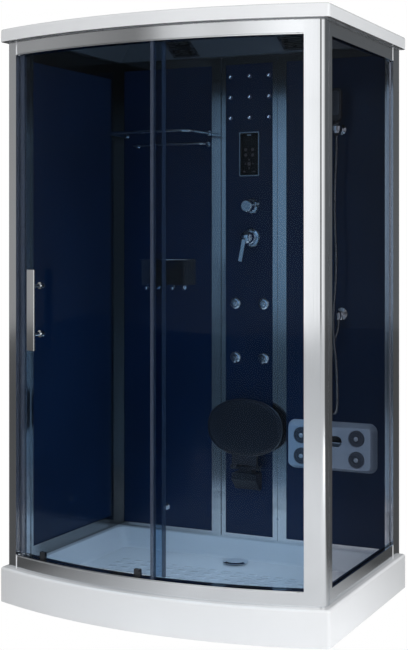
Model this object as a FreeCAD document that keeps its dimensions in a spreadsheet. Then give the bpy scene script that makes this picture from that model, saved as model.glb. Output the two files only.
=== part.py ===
import FreeCAD, Part
import math
import os
import types

import Sketcher

# A free-standing steam shower cabin with a bowed sliding-door front.
# Millimetres. +X to the right and +Y to the back of the cabin, +Z up.
# The origin is on the floor, in the middle of the cabin's plan.

Vector = FreeCAD.Vector
Rotation = FreeCAD.Rotation

X_AXIS = Vector(1, 0, 0)
Y_AXIS = Vector(0, 1, 0)
Z_AXIS = Vector(0, 0, 1)

doc = FreeCAD.newDocument("steam_shower_cabin")

# ---------------------------------------------------------------- sizes

SIZES = (
    ("cabin_width", 1312),
    ("side_depth", 858),
    ("bow_rise", 117),
    ("side_inset", 22),
    ("front_inset", 26),
    ("rear_inset", 18),
    ("tray_deck", 132),
    ("skirt_gap", 3),
    ("tray_skin", 6),
    ("tray_corner", 14),
    ("tray_lip", 9),
    ("basin_floor", 62),
    ("basin_margin", 20),
    ("basin_slope", 46),
    ("basin_corner", 48),
    ("basin_heel", 20),
    ("drain_setback", 126),
    ("drain_bore", 45),
    ("trap_cup", 35),
    ("waste_pipe", 20),
    ("waste_height", 30),
    ("trap_collar", 34),
    ("cover_disc", 51),
    ("cover_gap", 4),
    ("beam_size", 25),
    ("beam_spread", 900),
    ("foot_pad", 26),
    ("foot_stud", 6),
    ("frame_top", 2117),
    ("fascia_top", 2150),
    ("fascia_height", 47),
    ("fascia_skin", 15),
    ("roof_rim", 34),
    ("roof_skin", 4),
    ("dome_rise", 78),
    ("dome_run", 147),
    ("dome_margin", 22),
    ("dome_front", 95),
    ("rail_depth", 44),
    ("sill_height", 52),
    ("header_drop", 67),
    ("front_glass_inset", 33),
    ("door_glass_inset", 53),
    ("glass_thickness", 6),
    ("groove_depth", 12),
    ("post_face", 45),
    ("corner_face", 68),
    ("post_side", 85),
    ("post_wall", 26),
    ("post_corner", 25),
    ("bead_groove", 4),
    ("rear_post", 76),
    ("wall_depth", 25),
    ("wall_lip", 6),
    ("wall_rebate", 9),
    ("pane_thickness", 6),
    ("left_front_stile", 63),
    ("stile_bead", 14),
    ("left_rear_stile", 60),
    ("left_bottom_rail", 50),
    ("left_top_rail", 74),
    ("back_bottom_rail", 17),
    ("back_top_rail", 36),
    ("back_outer_stile", 26),
    ("back_inner_stile", 43),
    ("column_half", 126),
    ("column_stile", 21),
    ("column_shift", 4),
    ("door_gap", 2),
    ("door_right", 62),
    ("door_bottom", 190),
    ("door_top", 2060),
    ("magnet_width", 25),
    ("door_seal", 12),
    ("fixed_glass_edge", 40),
    ("hanger_setback", 97),
    ("hanger_width", 40),
    ("guide_width", 26),
    ("guide_height", 22),
    ("wheel_radius", 11),
    ("wheel_width", 5.6),
    ("wheel_bore", 2.55),
    ("axle_radius", 2.5),
    ("handle_setback", 84),
    ("handle_height", 1102),
    ("handle_length", 297),
    ("handle_width", 40),
    ("handle_thickness", 10),
    ("handle_reach", 40),
    ("handle_pitch", 178),
    ("handle_post", 8),
    ("led_pitch", 86),
    ("led_row", 85),
    ("led_top", 2031),
    ("led_radius", 8),
    ("keypad_width", 90),
    ("keypad_length", 183),
    ("keypad_height", 1711),
    ("valve_shift", 8),
    ("mixer_height", 1368),
    ("diverter_rise", 129),
    ("valve_barrel", 13),
    ("valve_setback", 15),
    ("inlet_arm", 10),
    ("inlet_pitch", 130),
    ("inlet_drop", 30),
    ("inlet_length", 28),
    ("mixer_ball", 26),
    ("lever_length", 96),
    ("lever_tilt", 8),
    ("jet_pitch", 63),
    ("jet_upper", 1098),
    ("jet_lower", 875),
    ("jet_ball", 13),
    ("jet_flange", 23),
    ("seat_width", 327),
    ("seat_length", 232),
    ("seat_end", 90),
    ("seat_thickness", 28),
    ("seat_pivot", 430),
    ("seat_reach", 38),
    ("seat_rise", 48),
    ("seat_neck", 108),
    ("seat_barrel", 9),
    ("seat_pin", 5),
    ("massager_setback", 245),
    ("massager_height", 538),
    ("massager_width", 376),
    ("massager_length", 196),
    ("massager_depth", 43),
    ("pad_across", 231),
    ("pad_up", 83),
    ("pad_radius", 32),
    ("toe_slot_width", 110),
    ("toe_slot_height", 43),
    ("toe_slot_rise", 25.5),
    ("steam_setback", 231),
    ("steam_height", 230),
    ("rack_setback", 39),
    ("rack_right", 178),
    ("rack_height", 1802),
    ("rack_reach", 190),
    ("rack_tube", 6),
    ("rack_bend", 38),
    ("bar_setback", 94),
    ("bar_right", 183),
    ("bar_height", 1757),
    ("bar_reach", 55),
    ("basket_setback", 165),
    ("basket_width", 203),
    ("basket_reach", 124),
    ("basket_height", 1170),
    ("basket_length", 109),
    ("basket_wall", 3),
    ("bracket_pitch", 123),
    ("holder_setback", 205),
    ("holder_height", 1796),
    ("holder_reach", 62),
    ("outlet_height", 1066),
    ("outlet_reach", 40),
    ("hose_diameter", 13),
    ("handset_width", 45),
    ("handset_length", 130),
    ("handset_thickness", 26),
    ("handset_neck", 11),
    ("grille_left", 263),
    ("grille_right", 235),
    ("grille_setback", 63),
    ("grille_size", 118),
    ("grille_collar", 100),
    ("fan_radius", 40),
    ("fan_depth", 34),
)

sheet = doc.addObject("Spreadsheet::Sheet", "Sizes")
for row, (alias, number) in enumerate(SIZES, 1):
    sheet.set(f"A{row}", alias.replace("_", " "))
    sheet.set(f"B{row}", str(number))
    sheet.setAlias(f"B{row}", alias)
doc.recompute()


class Size:
    """A length or angle: its number, and the formula on the sheet that gives it."""

    def __init__(self, number, formula):
        self.number = float(number)
        self.formula = formula

    def __add__(self, other):
        other = as_size(other)
        return Size(self.number + other.number, f"({self.formula} + {other.formula})")

    def __radd__(self, other):
        return as_size(other) + self

    def __sub__(self, other):
        other = as_size(other)
        return Size(self.number - other.number, f"({self.formula} - {other.formula})")

    def __rsub__(self, other):
        return as_size(other) - self

    def __mul__(self, other):
        other = as_size(other)
        return Size(self.number * other.number, f"({self.formula} * {other.formula})")

    def __rmul__(self, other):
        return as_size(other) * self

    def __truediv__(self, other):
        other = as_size(other)
        return Size(self.number / other.number, f"({self.formula} / {other.formula})")

    def __neg__(self):
        return Size(-self.number, f"(0 - {self.formula})")


def as_size(amount):
    return amount if isinstance(amount, Size) else Size(amount, repr(float(amount)))


def degrees(amount):
    return Size(amount, f"{float(amount)!r} deg")


def root(amount):
    return Size(math.sqrt(amount.number), f"sqrt({amount.formula})")


def arcsine(amount):
    return Size(math.degrees(math.asin(amount.number)), f"asin({amount.formula})")


def arctangent(amount):
    return Size(math.degrees(math.atan(amount.number)), f"atan({amount.formula})")


s = types.SimpleNamespace(**{alias: Size(sheet.get(alias), f"Sizes.{alias}") for alias, _ in SIZES})

# Places that several pieces share.
HALF_WIDTH = s.cabin_width / 2
FRONT = (s.bow_rise - s.side_depth) / 2
REAR = (s.bow_rise + s.side_depth) / 2
BOW_RADIUS = (HALF_WIDTH * HALF_WIDTH + s.bow_rise * s.bow_rise) / (2 * s.bow_rise)
BOW_CENTRE = FRONT - s.bow_rise + BOW_RADIUS
OUTER_X = HALF_WIDTH - s.side_inset
WALL_X = OUTER_X - s.wall_depth
WALL_BACK = REAR - s.rear_inset
WALL_Y = WALL_BACK - s.wall_depth
PANE_Y = WALL_Y + s.wall_lip
PANE_BACK = PANE_Y + s.pane_thickness
LEFT_POST_IN = s.post_face - OUTER_X
RIGHT_POST_IN = OUTER_X - s.corner_face
POST_END = FRONT + s.post_side
DOOR_LEFT = OUTER_X - s.post_face - s.magnet_width - s.door_gap
DIVERTER_HEIGHT = s.mixer_height + s.diverter_rise
MASSAGER_X = WALL_X - s.massager_setback
HOLDER_X = WALL_X - s.holder_setback
STEAM_LEFT = WALL_X - s.steam_setback
RACK_LEFT = WALL_X - s.rack_setback
BAR_LEFT = WALL_X - s.bar_setback
BASKET_LEFT = WALL_X - s.basket_setback
REAR_POST_START = WALL_BACK - s.rear_post
SILL_TOP = s.tray_deck + s.sill_height
HEADER_BOTTOM = s.frame_top - s.header_drop
FASCIA_BOTTOM = s.fascia_top - s.fascia_height
GLASS_GAP = 1.0
SEAT_GAP = 0.3


def bow_line(across, inset):
    """Y of the front's bow, moved in by inset, at a place across the cabin."""
    radius = BOW_RADIUS - inset
    return BOW_CENTRE - root(radius * radius - across * across)


# ---------------------------------------------------------------- drawing helpers

NODES = {}


def node(label, thing):
    """Names a finished piece; it's written under this name."""
    thing.Label = label
    NODES[label] = thing
    return thing


def bind(thing, prop, amount):
    amount = as_size(amount)
    if prop in thing.PropertiesList:
        setattr(thing, prop, amount.number)
    thing.setExpression(prop, amount.formula)


def place(thing, x=0, y=0, z=0, turn=None):
    """Puts a piece at x, y, z, turned first by a fixed rotation."""
    spot = [as_size(amount) for amount in (x, y, z)]
    thing.Placement = FreeCAD.Placement(Vector(*[a.number for a in spot]), turn or Rotation())
    for axis, amount in zip("xyz", spot):
        thing.setExpression(f"Placement.Base.{axis}", amount.formula)
    return thing


FACE_FORWARD = Rotation(X_AXIS, 90)
FACE_RIGHT = Rotation(Vector(1, 1, 1), 120)


def on_back_wall(thing, x, z, out=0):
    """Stands a piece, drawn with z as its reach, on the back wall's panes."""
    return place(thing, x, PANE_Y - out, z, FACE_FORWARD)


def on_bow(thing, angle, radius, z=0):
    """Turns a piece about the bow's axis; its own -Y then points out of the cabin."""
    sine = Size(math.sin(math.radians(angle.number)), f"sin({angle.formula})")
    cosine = Size(math.cos(math.radians(angle.number)), f"cos({angle.formula})")
    place(thing, radius * sine, BOW_CENTRE - radius * cosine, z, Rotation(Z_AXIS, angle.number))
    thing.setExpression("Placement.Rotation.Angle", angle.formula)
    return thing


def new_body(label):
    return doc.addObject("PartDesign::Body", label)


def outline(body, plane, corners, bulges=None, level=0):
    """A closed profile through corners, anticlockwise.

    bulges maps a side's number to its arc's radius: positive swells outwards, negative is hollow.
    """
    bulges = bulges or {}
    corners = [(as_size(x), as_size(y)) for x, y in corners]
    sketch = body.newObject("Sketcher::SketchObject", f"{body.Name}_outline")
    origin_plane = [f for f in body.Origin.OriginFeatures if f.Role == plane][0]
    sketch.AttachmentSupport = [(origin_plane, "")]
    sketch.MapMode = "FlatFace"
    sketch.setExpression("AttachmentOffset.Base.z", as_size(level).formula)
    points = [Vector(x.number, y.number, 0) for x, y in corners]
    sides = []
    ends = []
    for i, start in enumerate(points):
        finish = points[(i + 1) % len(points)]
        if i not in bulges:
            sides.append(Part.LineSegment(start, finish))
            ends.append((1, 2))
            continue
        radius = as_size(bulges[i]).number
        chord = finish - start
        left = Vector(-chord.y, chord.x, 0).normalize()
        rise = math.sqrt(max(radius * radius - chord.Length * chord.Length / 4, 0))
        centre = (start + finish) * 0.5 + left * math.copysign(rise, radius)
        first, last = (start, finish) if radius > 0 else (finish, start)
        angles = [math.atan2(p.y - centre.y, p.x - centre.x) for p in (first, last)]
        sides.append(Part.ArcOfCircle(Part.Circle(centre, Z_AXIS, abs(radius)), *angles))
        ends.append((1, 2) if radius > 0 else (2, 1))
    sketch.addGeometry(sides, False)
    rules = []
    formulas = []
    for i in range(len(points)):
        after = (i + 1) % len(points)
        rules.append(Sketcher.Constraint("Coincident", i, ends[i][1], after, ends[after][0]))
    for i, (x, y) in enumerate(corners):
        for kind, amount in (("DistanceX", x), ("DistanceY", y)):
            formulas.append((len(rules), amount.formula))
            rules.append(Sketcher.Constraint(kind, i, ends[i][0], amount.number))
    for i, radius in bulges.items():
        radius = as_size(radius)
        amount = radius if radius.number > 0 else -radius
        formulas.append((len(rules), amount.formula))
        rules.append(Sketcher.Constraint("Radius", i, amount.number))
    sketch.addConstraint(rules)
    for place_in_list, formula in formulas:
        sketch.setExpression(f"Constraints[{place_in_list}]", formula)
    return sketch


def circles(body, plane, centres, radius, level=0):
    """One sketch of equal circles."""
    radius = as_size(radius)
    sketch = body.newObject("Sketcher::SketchObject", f"{body.Name}_circles")
    sketch.AttachmentSupport = [([f for f in body.Origin.OriginFeatures if f.Role == plane][0], "")]
    sketch.MapMode = "FlatFace"
    sketch.setExpression("AttachmentOffset.Base.z", as_size(level).formula)
    for i, (x, y) in enumerate(centres):
        x, y = as_size(x), as_size(y)
        sketch.addGeometry(Part.Circle(Vector(x.number, y.number, 0), Z_AXIS, radius.number), False)
        rules = [
            Sketcher.Constraint("DistanceX", i, 3, x.number),
            Sketcher.Constraint("DistanceY", i, 3, y.number),
            Sketcher.Constraint("Radius", i, radius.number),
        ]
        sketch.addConstraint(rules)
        for j, amount in enumerate((x, y, radius)):
            sketch.setExpression(f"Constraints[{3 * i + j}]", amount.formula)
    return sketch


def pad(body, sketch, length, back=False):
    """Adds material along the sketch's normal, or against it when back is set."""
    feature = body.newObject("PartDesign::Pad", f"{body.Name}_pad")
    feature.Profile = sketch
    feature.Reversed = back
    bind(feature, "Length", length)
    sketch.Visibility = False
    return feature


def pocket(body, sketch, length, along=False):
    """Cuts against the sketch's normal, or along it when along is set."""
    feature = body.newObject("PartDesign::Pocket", f"{body.Name}_pocket")
    feature.Profile = sketch
    feature.Reversed = along
    bind(feature, "Length", length)
    return feature


def revolve(body, sketch):
    """Turns a profile about the sketch's own vertical axis."""
    feature = body.newObject("PartDesign::Revolution", f"{body.Name}_turning")
    feature.Profile = sketch
    feature.ReferenceAxis = (sketch, ["V_Axis"])
    feature.Angle = 360
    return feature


def turned(label, corners, bulges=None):
    """A piece turned about its own Z; corners are (radius, height)."""
    body = new_body(label)
    revolve(body, outline(body, "XZ_Plane", corners, bulges))
    return body


def round_edges(body, radius, chosen):
    """Fillets the edges of the body so far that chosen picks."""
    doc.recompute()
    base = body.Tip
    names = [f"Edge{i}" for i, edge in enumerate(base.Shape.Edges, 1) if chosen(edge)]
    feature = body.newObject("PartDesign::Fillet", f"{body.Name}_fillet")
    feature.Base = (base, names)
    bind(feature, "Radius", radius)
    return feature


def is_upright(edge):
    low, high = edge.BoundBox.ZMin, edge.BoundBox.ZMax
    level = max(edge.BoundBox.XLength, edge.BoundBox.YLength)
    return high - low > 4 * level


def is_level_at(height):
    def test(edge):
        box = edge.BoundBox
        return abs(box.ZMin - height) < 0.01 and abs(box.ZMax - height) < 0.01
    return test


def rectangle(left, bottom, right, top):
    return [(left, bottom), (right, bottom), (right, top), (left, top)]


def rounded(left, bottom, right, top, radius):
    """Corners and bulges of a rectangle with round corners."""
    corners = [
        (left + radius, bottom), (right - radius, bottom),
        (right, bottom + radius), (right, top - radius),
        (right - radius, top), (left + radius, top),
        (left, top - radius), (left, bottom + radius),
    ]
    return corners, {1: radius, 3: radius, 5: radius, 7: radius}


def slab(label, corners, length, bulges=None, level=0):
    """A piece padded up from its own XY plane."""
    body = new_body(label)
    pad(body, outline(body, "XY_Plane", corners, bulges, level), length)
    return body


def cylinder(name, radius, height, angle=None):
    thing = doc.addObject("Part::Cylinder", name)
    bind(thing, "Radius", radius)
    bind(thing, "Height", height)
    if angle is not None:
        bind(thing, "Angle", angle)
    return thing


def block(name, length, width, height):
    thing = doc.addObject("Part::Box", name)
    bind(thing, "Length", length)
    bind(thing, "Width", width)
    bind(thing, "Height", height)
    return thing


def cut(name, base, *tools):
    tool = tools[0] if len(tools) == 1 else fuse(f"{name}_tools", *tools)
    thing = doc.addObject("Part::Cut", name)
    thing.Base = base
    thing.Tool = tool
    return thing


def fuse(name, *things):
    thing = doc.addObject("Part::MultiFuse", name)
    thing.Shapes = list(things)
    return thing


def group(name, *things):
    thing = doc.addObject("Part::Compound", name)
    thing.Links = list(things)
    return thing


def bow_band(name, outer, inner, bottom, height, left, right):
    """A strip that follows the bow between two insets, cut square at left and right."""
    ring = cut(
        f"{name}_ring",
        place(cylinder(f"{name}_outside", BOW_RADIUS - outer, height), 0, BOW_CENTRE, bottom),
        place(cylinder(f"{name}_inside", BOW_RADIUS - inner, height + 2), 0, BOW_CENTRE, bottom - 1),
    )
    left, right = as_size(left), as_size(right)
    window = block(f"{name}_window", right - left, s.side_depth, height)
    place(window, left, FRONT - s.bow_rise, bottom)
    band = doc.addObject("Part::Common", name)
    band.Base = ring
    band.Tool = window
    return band


def bow_sector(name, outer, inner, bottom, height, left, right):
    """A strip that follows the bow between two insets, with ends square to the bow."""
    middle = BOW_RADIUS - (as_size(outer) + inner) / 2
    start = arcsine(as_size(left) / middle)
    finish = arcsine(as_size(right) / middle)
    outside = cylinder(f"{name}_outside", BOW_RADIUS - outer, height, finish - start)
    on_bow_start = start - degrees(90)
    place(outside, 0, BOW_CENTRE, bottom, Rotation(Z_AXIS, on_bow_start.number))
    outside.Placement.Rotation = Rotation(Z_AXIS, on_bow_start.number)
    outside.setExpression("Placement.Rotation.Angle", (on_bow_start + degrees(360)).formula)
    inside = place(cylinder(f"{name}_inside", BOW_RADIUS - inner, height + 2), 0, BOW_CENTRE, bottom - 1)
    return cut(name, outside, inside)


def cabin_plan(inset_side, inset_front, inset_rear):
    """The tray's plan, moved in: a square back and a bowed front."""
    side = HALF_WIDTH - inset_side
    back = REAR - inset_rear
    front = bow_line(side, inset_front)
    corners = [(-side, front), (side, front), (side, back), (-side, back)]
    return corners, {0: BOW_RADIUS - inset_front}


def round_tube(points, radius, bends):
    """A round tube along straight runs joined by tangent arcs."""
    edges = []
    last = points[0]
    for i, corner in enumerate(points[1:-1], 1):
        towards_before = (points[i - 1] - corner).normalize()
        towards_after = (points[i + 1] - corner).normalize()
        half_turn = (math.pi - towards_before.getAngle(towards_after)) / 2
        setback = bends[i - 1] * math.tan(half_turn)
        arc_start = corner + towards_before * setback
        arc_end = corner + towards_after * setback
        middle = (towards_before + towards_after).normalize()
        reach = bends[i - 1] / math.cos(half_turn) - bends[i - 1]
        edges.append(Part.LineSegment(last, arc_start).toShape())
        edges.append(Part.Arc(arc_start, corner + middle * reach, arc_end).toShape())
        last = arc_end
    edges.append(Part.LineSegment(last, points[-1]).toShape())
    path = Part.Wire(edges)
    heading = (points[1] - points[0]).normalize()
    section = Part.Wire([Part.Circle(points[0], heading, radius).toShape()])
    return path, path.makePipeShell([section], True, False)


def feature(label, shape):
    thing = doc.addObject("Part::Feature", label)
    thing.Shape = shape
    return thing


# ---------------------------------------------------------------- tray and drain

DRAIN_Y = WALL_Y - s.drain_setback
FLOOR_UNDER = s.basin_floor - s.tray_skin
BASIN_FRONT = s.front_inset + s.rail_depth + s.basin_margin
BASIN_SIDE = HALF_WIDTH - WALL_X + s.basin_margin
BASIN_REAR = REAR - WALL_Y + s.basin_margin


def make_tray():
    """Acrylic tray: apron, deck and a dished basin, hollow below."""
    body = new_body("tray")
    corners, bulges = cabin_plan(0, 0, 0)
    pad(body, outline(body, "XY_Plane", corners, bulges, s.skirt_gap), s.tray_deck - s.skirt_gap)
    round_edges(body, s.tray_corner, is_upright)
    round_edges(body, s.tray_lip, is_level_at(s.tray_deck.number))
    corners, bulges = cabin_plan(s.tray_skin, s.tray_skin, s.tray_skin)
    hollow = outline(body, "XY_Plane", corners, bulges, s.skirt_gap)
    pocket(body, hollow, s.tray_deck - s.skirt_gap - s.tray_skin, along=True)
    for grow, cutting in ((s.tray_skin, False), (as_size(0), True)):
        rings = []
        floor = s.basin_floor - grow
        top = s.tray_deck - grow / 2 if not cutting else s.tray_deck + 1
        for extra, level in ((s.basin_slope, floor), (as_size(0), top)):
            corners, bulges = cabin_plan(
                BASIN_SIDE + extra - grow, BASIN_FRONT + extra - grow, BASIN_REAR + extra - grow)
            rings.append(outline(body, "XY_Plane", corners, bulges, level))
        kind = "PartDesign::SubtractiveLoft" if cutting else "PartDesign::AdditiveLoft"
        loft = body.newObject(kind, "basin")
        loft.Profile = rings[0]
        loft.Sections = [rings[1]]
        loft.Ruled = True
    doc.recompute()
    limit = s.basin_floor.number

    def is_basin_corner(edge):
        box = edge.BoundBox
        return abs(box.ZMin - limit) < 0.01 and box.ZMax > limit + 40

    round_edges(body, s.basin_corner, is_basin_corner)
    round_edges(body, s.basin_heel, is_level_at(limit))
    pocket(body, circles(body, "XY_Plane", [(0, DRAIN_Y)], s.drain_bore, s.basin_floor + 1), s.tray_skin + 2)
    notch = outline(body, "XZ_Plane", rectangle(-45, s.skirt_gap, 45, s.waste_height + 32), level=-REAR - 1)
    pocket(body, notch, s.tray_skin + 3, along=True)
    return node("shower_tray", body)


def make_support():
    """Frame of square bars below the basin, the short bars butted between the long, on screw feet."""
    bars = []
    bottom = FLOOR_UNDER - s.beam_size
    half = s.beam_size / 2
    spacing = s.beam_spread / 3
    cross_rows = [(i - 1.5) * spacing for i in range(4)]
    start = FRONT - 10
    length = s.side_depth - 60
    for i, x in enumerate(cross_rows):
        bar = block(f"cross_bar_{i}", s.beam_size, length, s.beam_size)
        bars.append(place(bar, x - half, start, bottom))
    for i, x in enumerate(cross_rows[:-1]):
        for j, y in enumerate((start + length / 8, start + 5 * length / 7)):
            bar = block(f"tie_bar_{i}_{j}", spacing - s.beam_size, s.beam_size, s.beam_size)
            bars.append(place(bar, x + half, y, bottom))
    node("tray_support_frame", group("support_frame", *bars))
    feet = []
    for i, x in enumerate(cross_rows):
        for j, y in enumerate((start + 40, start + length - 40)):
            name = f"foot_{i}_{j}"
            foot = turned(name, [
                (0, 0), (s.foot_pad, 0), (s.foot_pad, 4), (s.foot_stud + 5, 9),
                (s.foot_stud + 5, 15), (s.foot_stud, 15), (s.foot_stud, bottom), (0, bottom)])
            feet.append(place(foot, x, y, 0))
    node("adjustable_feet", group("feet", *feet))


def make_drain():
    """Low trap with its cup and side outlet, and the loose cover above it."""
    cup = s.trap_cup
    wall = 3
    body = turned("trap", [
        (0, 8), (cup + wall, 8), (cup + wall, FLOOR_UNDER - 5), (s.drain_bore + 10, FLOOR_UNDER - 5),
        (s.drain_bore + 10, FLOOR_UNDER), (s.drain_bore - 0.3, FLOOR_UNDER),
        (s.drain_bore - 0.3, s.basin_floor), (cup, s.basin_floor), (cup, 8 + wall), (0, 8 + wall)])
    outlet_end = REAR - DRAIN_Y - 4
    spigot = circles(body, "XZ_Plane", [(0, s.waste_height)], s.waste_pipe, level=-cup - 1)
    pad(body, spigot, outlet_end - cup - 1, back=True)
    collar = circles(body, "XZ_Plane", [(0, s.waste_height)], s.waste_pipe + 5, level=-cup - 1)
    pad(body, collar, s.trap_collar, back=True)
    bore = circles(body, "XZ_Plane", [(0, s.waste_height)], s.waste_pipe - 2.5, level=-outlet_end)
    pocket(body, bore, 45, along=False)
    node("drain_trap", place(body, 0, DRAIN_Y, 0))
    height = s.basin_floor + s.cover_gap
    cover = turned("cover", [
        (0, height), (s.cover_disc, height), (s.cover_disc, height + 2), (s.cover_disc - 14, height + 5),
        (0, height + 6)])
    pegs = circles(cover, "XY_Plane", [(0, 40), (-34.6, -20), (34.6, -20)], 3, height)
    pad(cover, pegs, s.cover_gap, back=True)
    node("drain_cover", place(cover, 0, DRAIN_Y, 0))


# ---------------------------------------------------------------- outer frame

GLASS_IN = s.front_glass_inset + s.glass_thickness
DOOR_IN = s.door_glass_inset + s.glass_thickness
DOOR_MIDDLE = s.door_glass_inset + s.glass_thickness / 2
DOOR_RADIUS = BOW_RADIUS - DOOR_MIDDLE
SIDE_GLASS_X = OUTER_X - s.wall_depth / 2
RAIL_IN = s.front_inset + s.rail_depth
TRACK_OUT = s.door_glass_inset - 3
TRACK_IN = DOOR_IN + 3
CHANNEL_OUT = TRACK_OUT - 4
CHANNEL_IN = RAIL_IN - 2
LIP_TOP = HEADER_BOTTOM + 6


def make_front_rails():
    """Bowed sill and header; glass grooves outside, the door's track inside."""
    ends = (LEFT_POST_IN, RIGHT_POST_IN)
    sill = bow_band("sill", s.front_inset, RAIL_IN, s.tray_deck, s.sill_height, *ends)
    floor = SILL_TOP - s.groove_depth
    glass_groove = bow_band(
        "sill_glass_groove", s.front_glass_inset - GLASS_GAP, GLASS_IN + GLASS_GAP, floor,
        s.groove_depth + 1, *ends)
    guide_groove = bow_band("sill_guide_groove", TRACK_OUT, TRACK_IN, floor, s.groove_depth + 1, *ends)
    node("front_bottom_rail", cut("sill_rail", sill, glass_groove, guide_groove))
    header = bow_band("header", s.front_inset, RAIL_IN, HEADER_BOTTOM, s.header_drop, *ends)
    glass_groove = bow_band(
        "header_glass_groove", s.front_glass_inset - GLASS_GAP, GLASS_IN + GLASS_GAP,
        HEADER_BOTTOM - 1, s.groove_depth + 2, *ends)
    slot = bow_band("header_slot", TRACK_OUT, TRACK_IN, HEADER_BOTTOM - 1, 20, *ends)
    channel = bow_band("header_channel", CHANNEL_OUT, CHANNEL_IN, LIP_TOP, 50, *ends)
    node("front_top_rail", cut("header_rail", header, glass_groove, slot, channel))


def glass_pocket(edge, depth, towards):
    """The four corners of a groove that takes the side glass's edge."""
    half = s.glass_thickness / 2 + GLASS_GAP
    return [
        (SIDE_GLASS_X + half, edge), (SIDE_GLASS_X + half, edge + towards * depth),
        (SIDE_GLASS_X - half, edge + towards * depth), (SIDE_GLASS_X - half, edge),
    ]


def make_posts():
    """Corner posts: each a long profile that stands on the deck and carries the roof."""
    height = s.frame_top - s.tray_deck
    left_face = -OUTER_X
    inner = bow_line(LEFT_POST_IN, RAIL_IN)
    left = slab("left_post", [
        (left_face, bow_line(OUTER_X, s.front_inset)), (LEFT_POST_IN, bow_line(LEFT_POST_IN, s.front_inset)),
        (LEFT_POST_IN, inner), (left_face + s.post_wall, inner + 8), (left_face + s.post_wall, POST_END),
        (left_face, POST_END)], height, {0: BOW_RADIUS - s.front_inset})
    edge_x = left_face.number
    front_y = bow_line(OUTER_X, s.front_inset).number

    def is_outer_corner(edge):
        box = edge.BoundBox
        return is_upright(edge) and abs(abs(box.XMin) - abs(edge_x)) < 0.01 and abs(box.YMin - front_y) < 0.01

    round_edges(left, s.post_corner - 12, is_outer_corner)
    node("left_front_post", place(left, 0, 0, s.tray_deck))

    depth = s.groove_depth + 2
    groove_front = bow_line(RIGHT_POST_IN, s.front_glass_inset - GLASS_GAP)
    groove_back = bow_line(RIGHT_POST_IN + depth, GLASS_IN + GLASS_GAP)
    inner = bow_line(RIGHT_POST_IN, RAIL_IN)
    right = slab("right_post", [
        (RIGHT_POST_IN, bow_line(RIGHT_POST_IN, s.front_inset)), (OUTER_X, bow_line(OUTER_X, s.front_inset)),
        (OUTER_X, POST_END), *glass_pocket(POST_END, depth, -1),
        (OUTER_X - s.post_wall, POST_END), (OUTER_X - s.post_wall, inner + 16), (RIGHT_POST_IN, inner),
        (RIGHT_POST_IN, groove_back), (RIGHT_POST_IN + depth, groove_back),
        (RIGHT_POST_IN + depth, groove_front), (RIGHT_POST_IN, groove_front),
    ], height, {0: BOW_RADIUS - s.front_inset})
    round_edges(right, s.post_corner, is_outer_corner)
    for back in (s.bead_groove, 4 * s.bead_groove):
        edge = POST_END - s.post_side / 2 + back
        flute = rectangle(OUTER_X - 1.5, edge, OUTER_X + 1, edge + s.bead_groove)
        pocket(right, outline(right, "XY_Plane", flute, level=height + 1), height + 2)
    node("right_front_post", place(right, 0, 0, s.tray_deck))

    rear = slab("rear_post", [
        (OUTER_X - s.post_wall, REAR_POST_START),
        *reversed(glass_pocket(REAR_POST_START, depth, 1)),
        (OUTER_X, REAR_POST_START), (OUTER_X, WALL_BACK), (OUTER_X - s.post_wall, WALL_BACK)], height)
    node("rear_right_post", place(rear, 0, 0, s.tray_deck))


def make_side():
    """Right side: two grooved rails and the flat pane between the posts."""
    inside = OUTER_X - s.post_wall
    length = REAR_POST_START - POST_END
    half = s.glass_thickness / 2 + GLASS_GAP
    rails = []
    for name, bottom, height, groove in (
            ("side_sill", s.tray_deck, s.sill_height, SILL_TOP - s.groove_depth),
            ("side_header", HEADER_BOTTOM, s.header_drop, HEADER_BOTTOM - 1)):
        rail = place(block(f"{name}_bar", s.post_wall, length, height), inside, POST_END, bottom)
        slot = block(f"{name}_slot", 2 * half, length + 2, s.groove_depth + 1)
        place(slot, SIDE_GLASS_X - half, POST_END - 1, groove)
        rails.append(cut(name, rail, slot))
    node("side_rails", group("side_rail_pair", *rails))
    bottom = SILL_TOP - s.groove_depth
    top = HEADER_BOTTOM + s.groove_depth - GLASS_GAP
    pane = block("side_pane", s.glass_thickness, length + 2 * s.groove_depth, top - bottom)
    place(pane, SIDE_GLASS_X - s.glass_thickness / 2, POST_END - s.groove_depth, bottom)
    node("side_glass", pane)


def make_fixed_front():
    """Curved fixed pane in the right half, and the soft strips on the frame."""
    bottom = SILL_TOP - s.groove_depth
    top = HEADER_BOTTOM + s.groove_depth - GLASS_GAP
    right = RIGHT_POST_IN + s.groove_depth
    pane = bow_band("fixed_pane", s.front_glass_inset, GLASS_IN, bottom, top - bottom, s.fixed_glass_edge, right)
    node("fixed_front_glass", pane)
    clear_height = HEADER_BOTTOM - SILL_TOP
    free_edge = bow_band(
        "free_edge_seal", s.front_glass_inset - 1.5, TRACK_OUT + 0.3, SILL_TOP, clear_height,
        s.fixed_glass_edge - s.door_seal, s.fixed_glass_edge)
    strike = bow_band(
        "strike_strip", s.door_glass_inset - 2, DOOR_IN + 2, SILL_TOP, clear_height,
        LEFT_POST_IN, LEFT_POST_IN + 2)
    node("fixed_seals", group("frame_seals", free_edge, strike))


# ---------------------------------------------------------------- sliding door

DOOR_LEFT_ANGLE = arcsine(-DOOR_LEFT / DOOR_RADIUS)
HANGER_ANGLES = (
    arcsine((s.hanger_setback - DOOR_LEFT) / DOOR_RADIUS),
    arcsine((s.door_right - s.hanger_setback) / DOOR_RADIUS),
)
HANDLE_ANGLE = arcsine((s.handle_setback - DOOR_LEFT) / DOOR_RADIUS)
PLATE = 2.0
CLIP_GAP = 0.2
WHEEL_CENTRE = LIP_TOP + s.wheel_radius + 0.05


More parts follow.
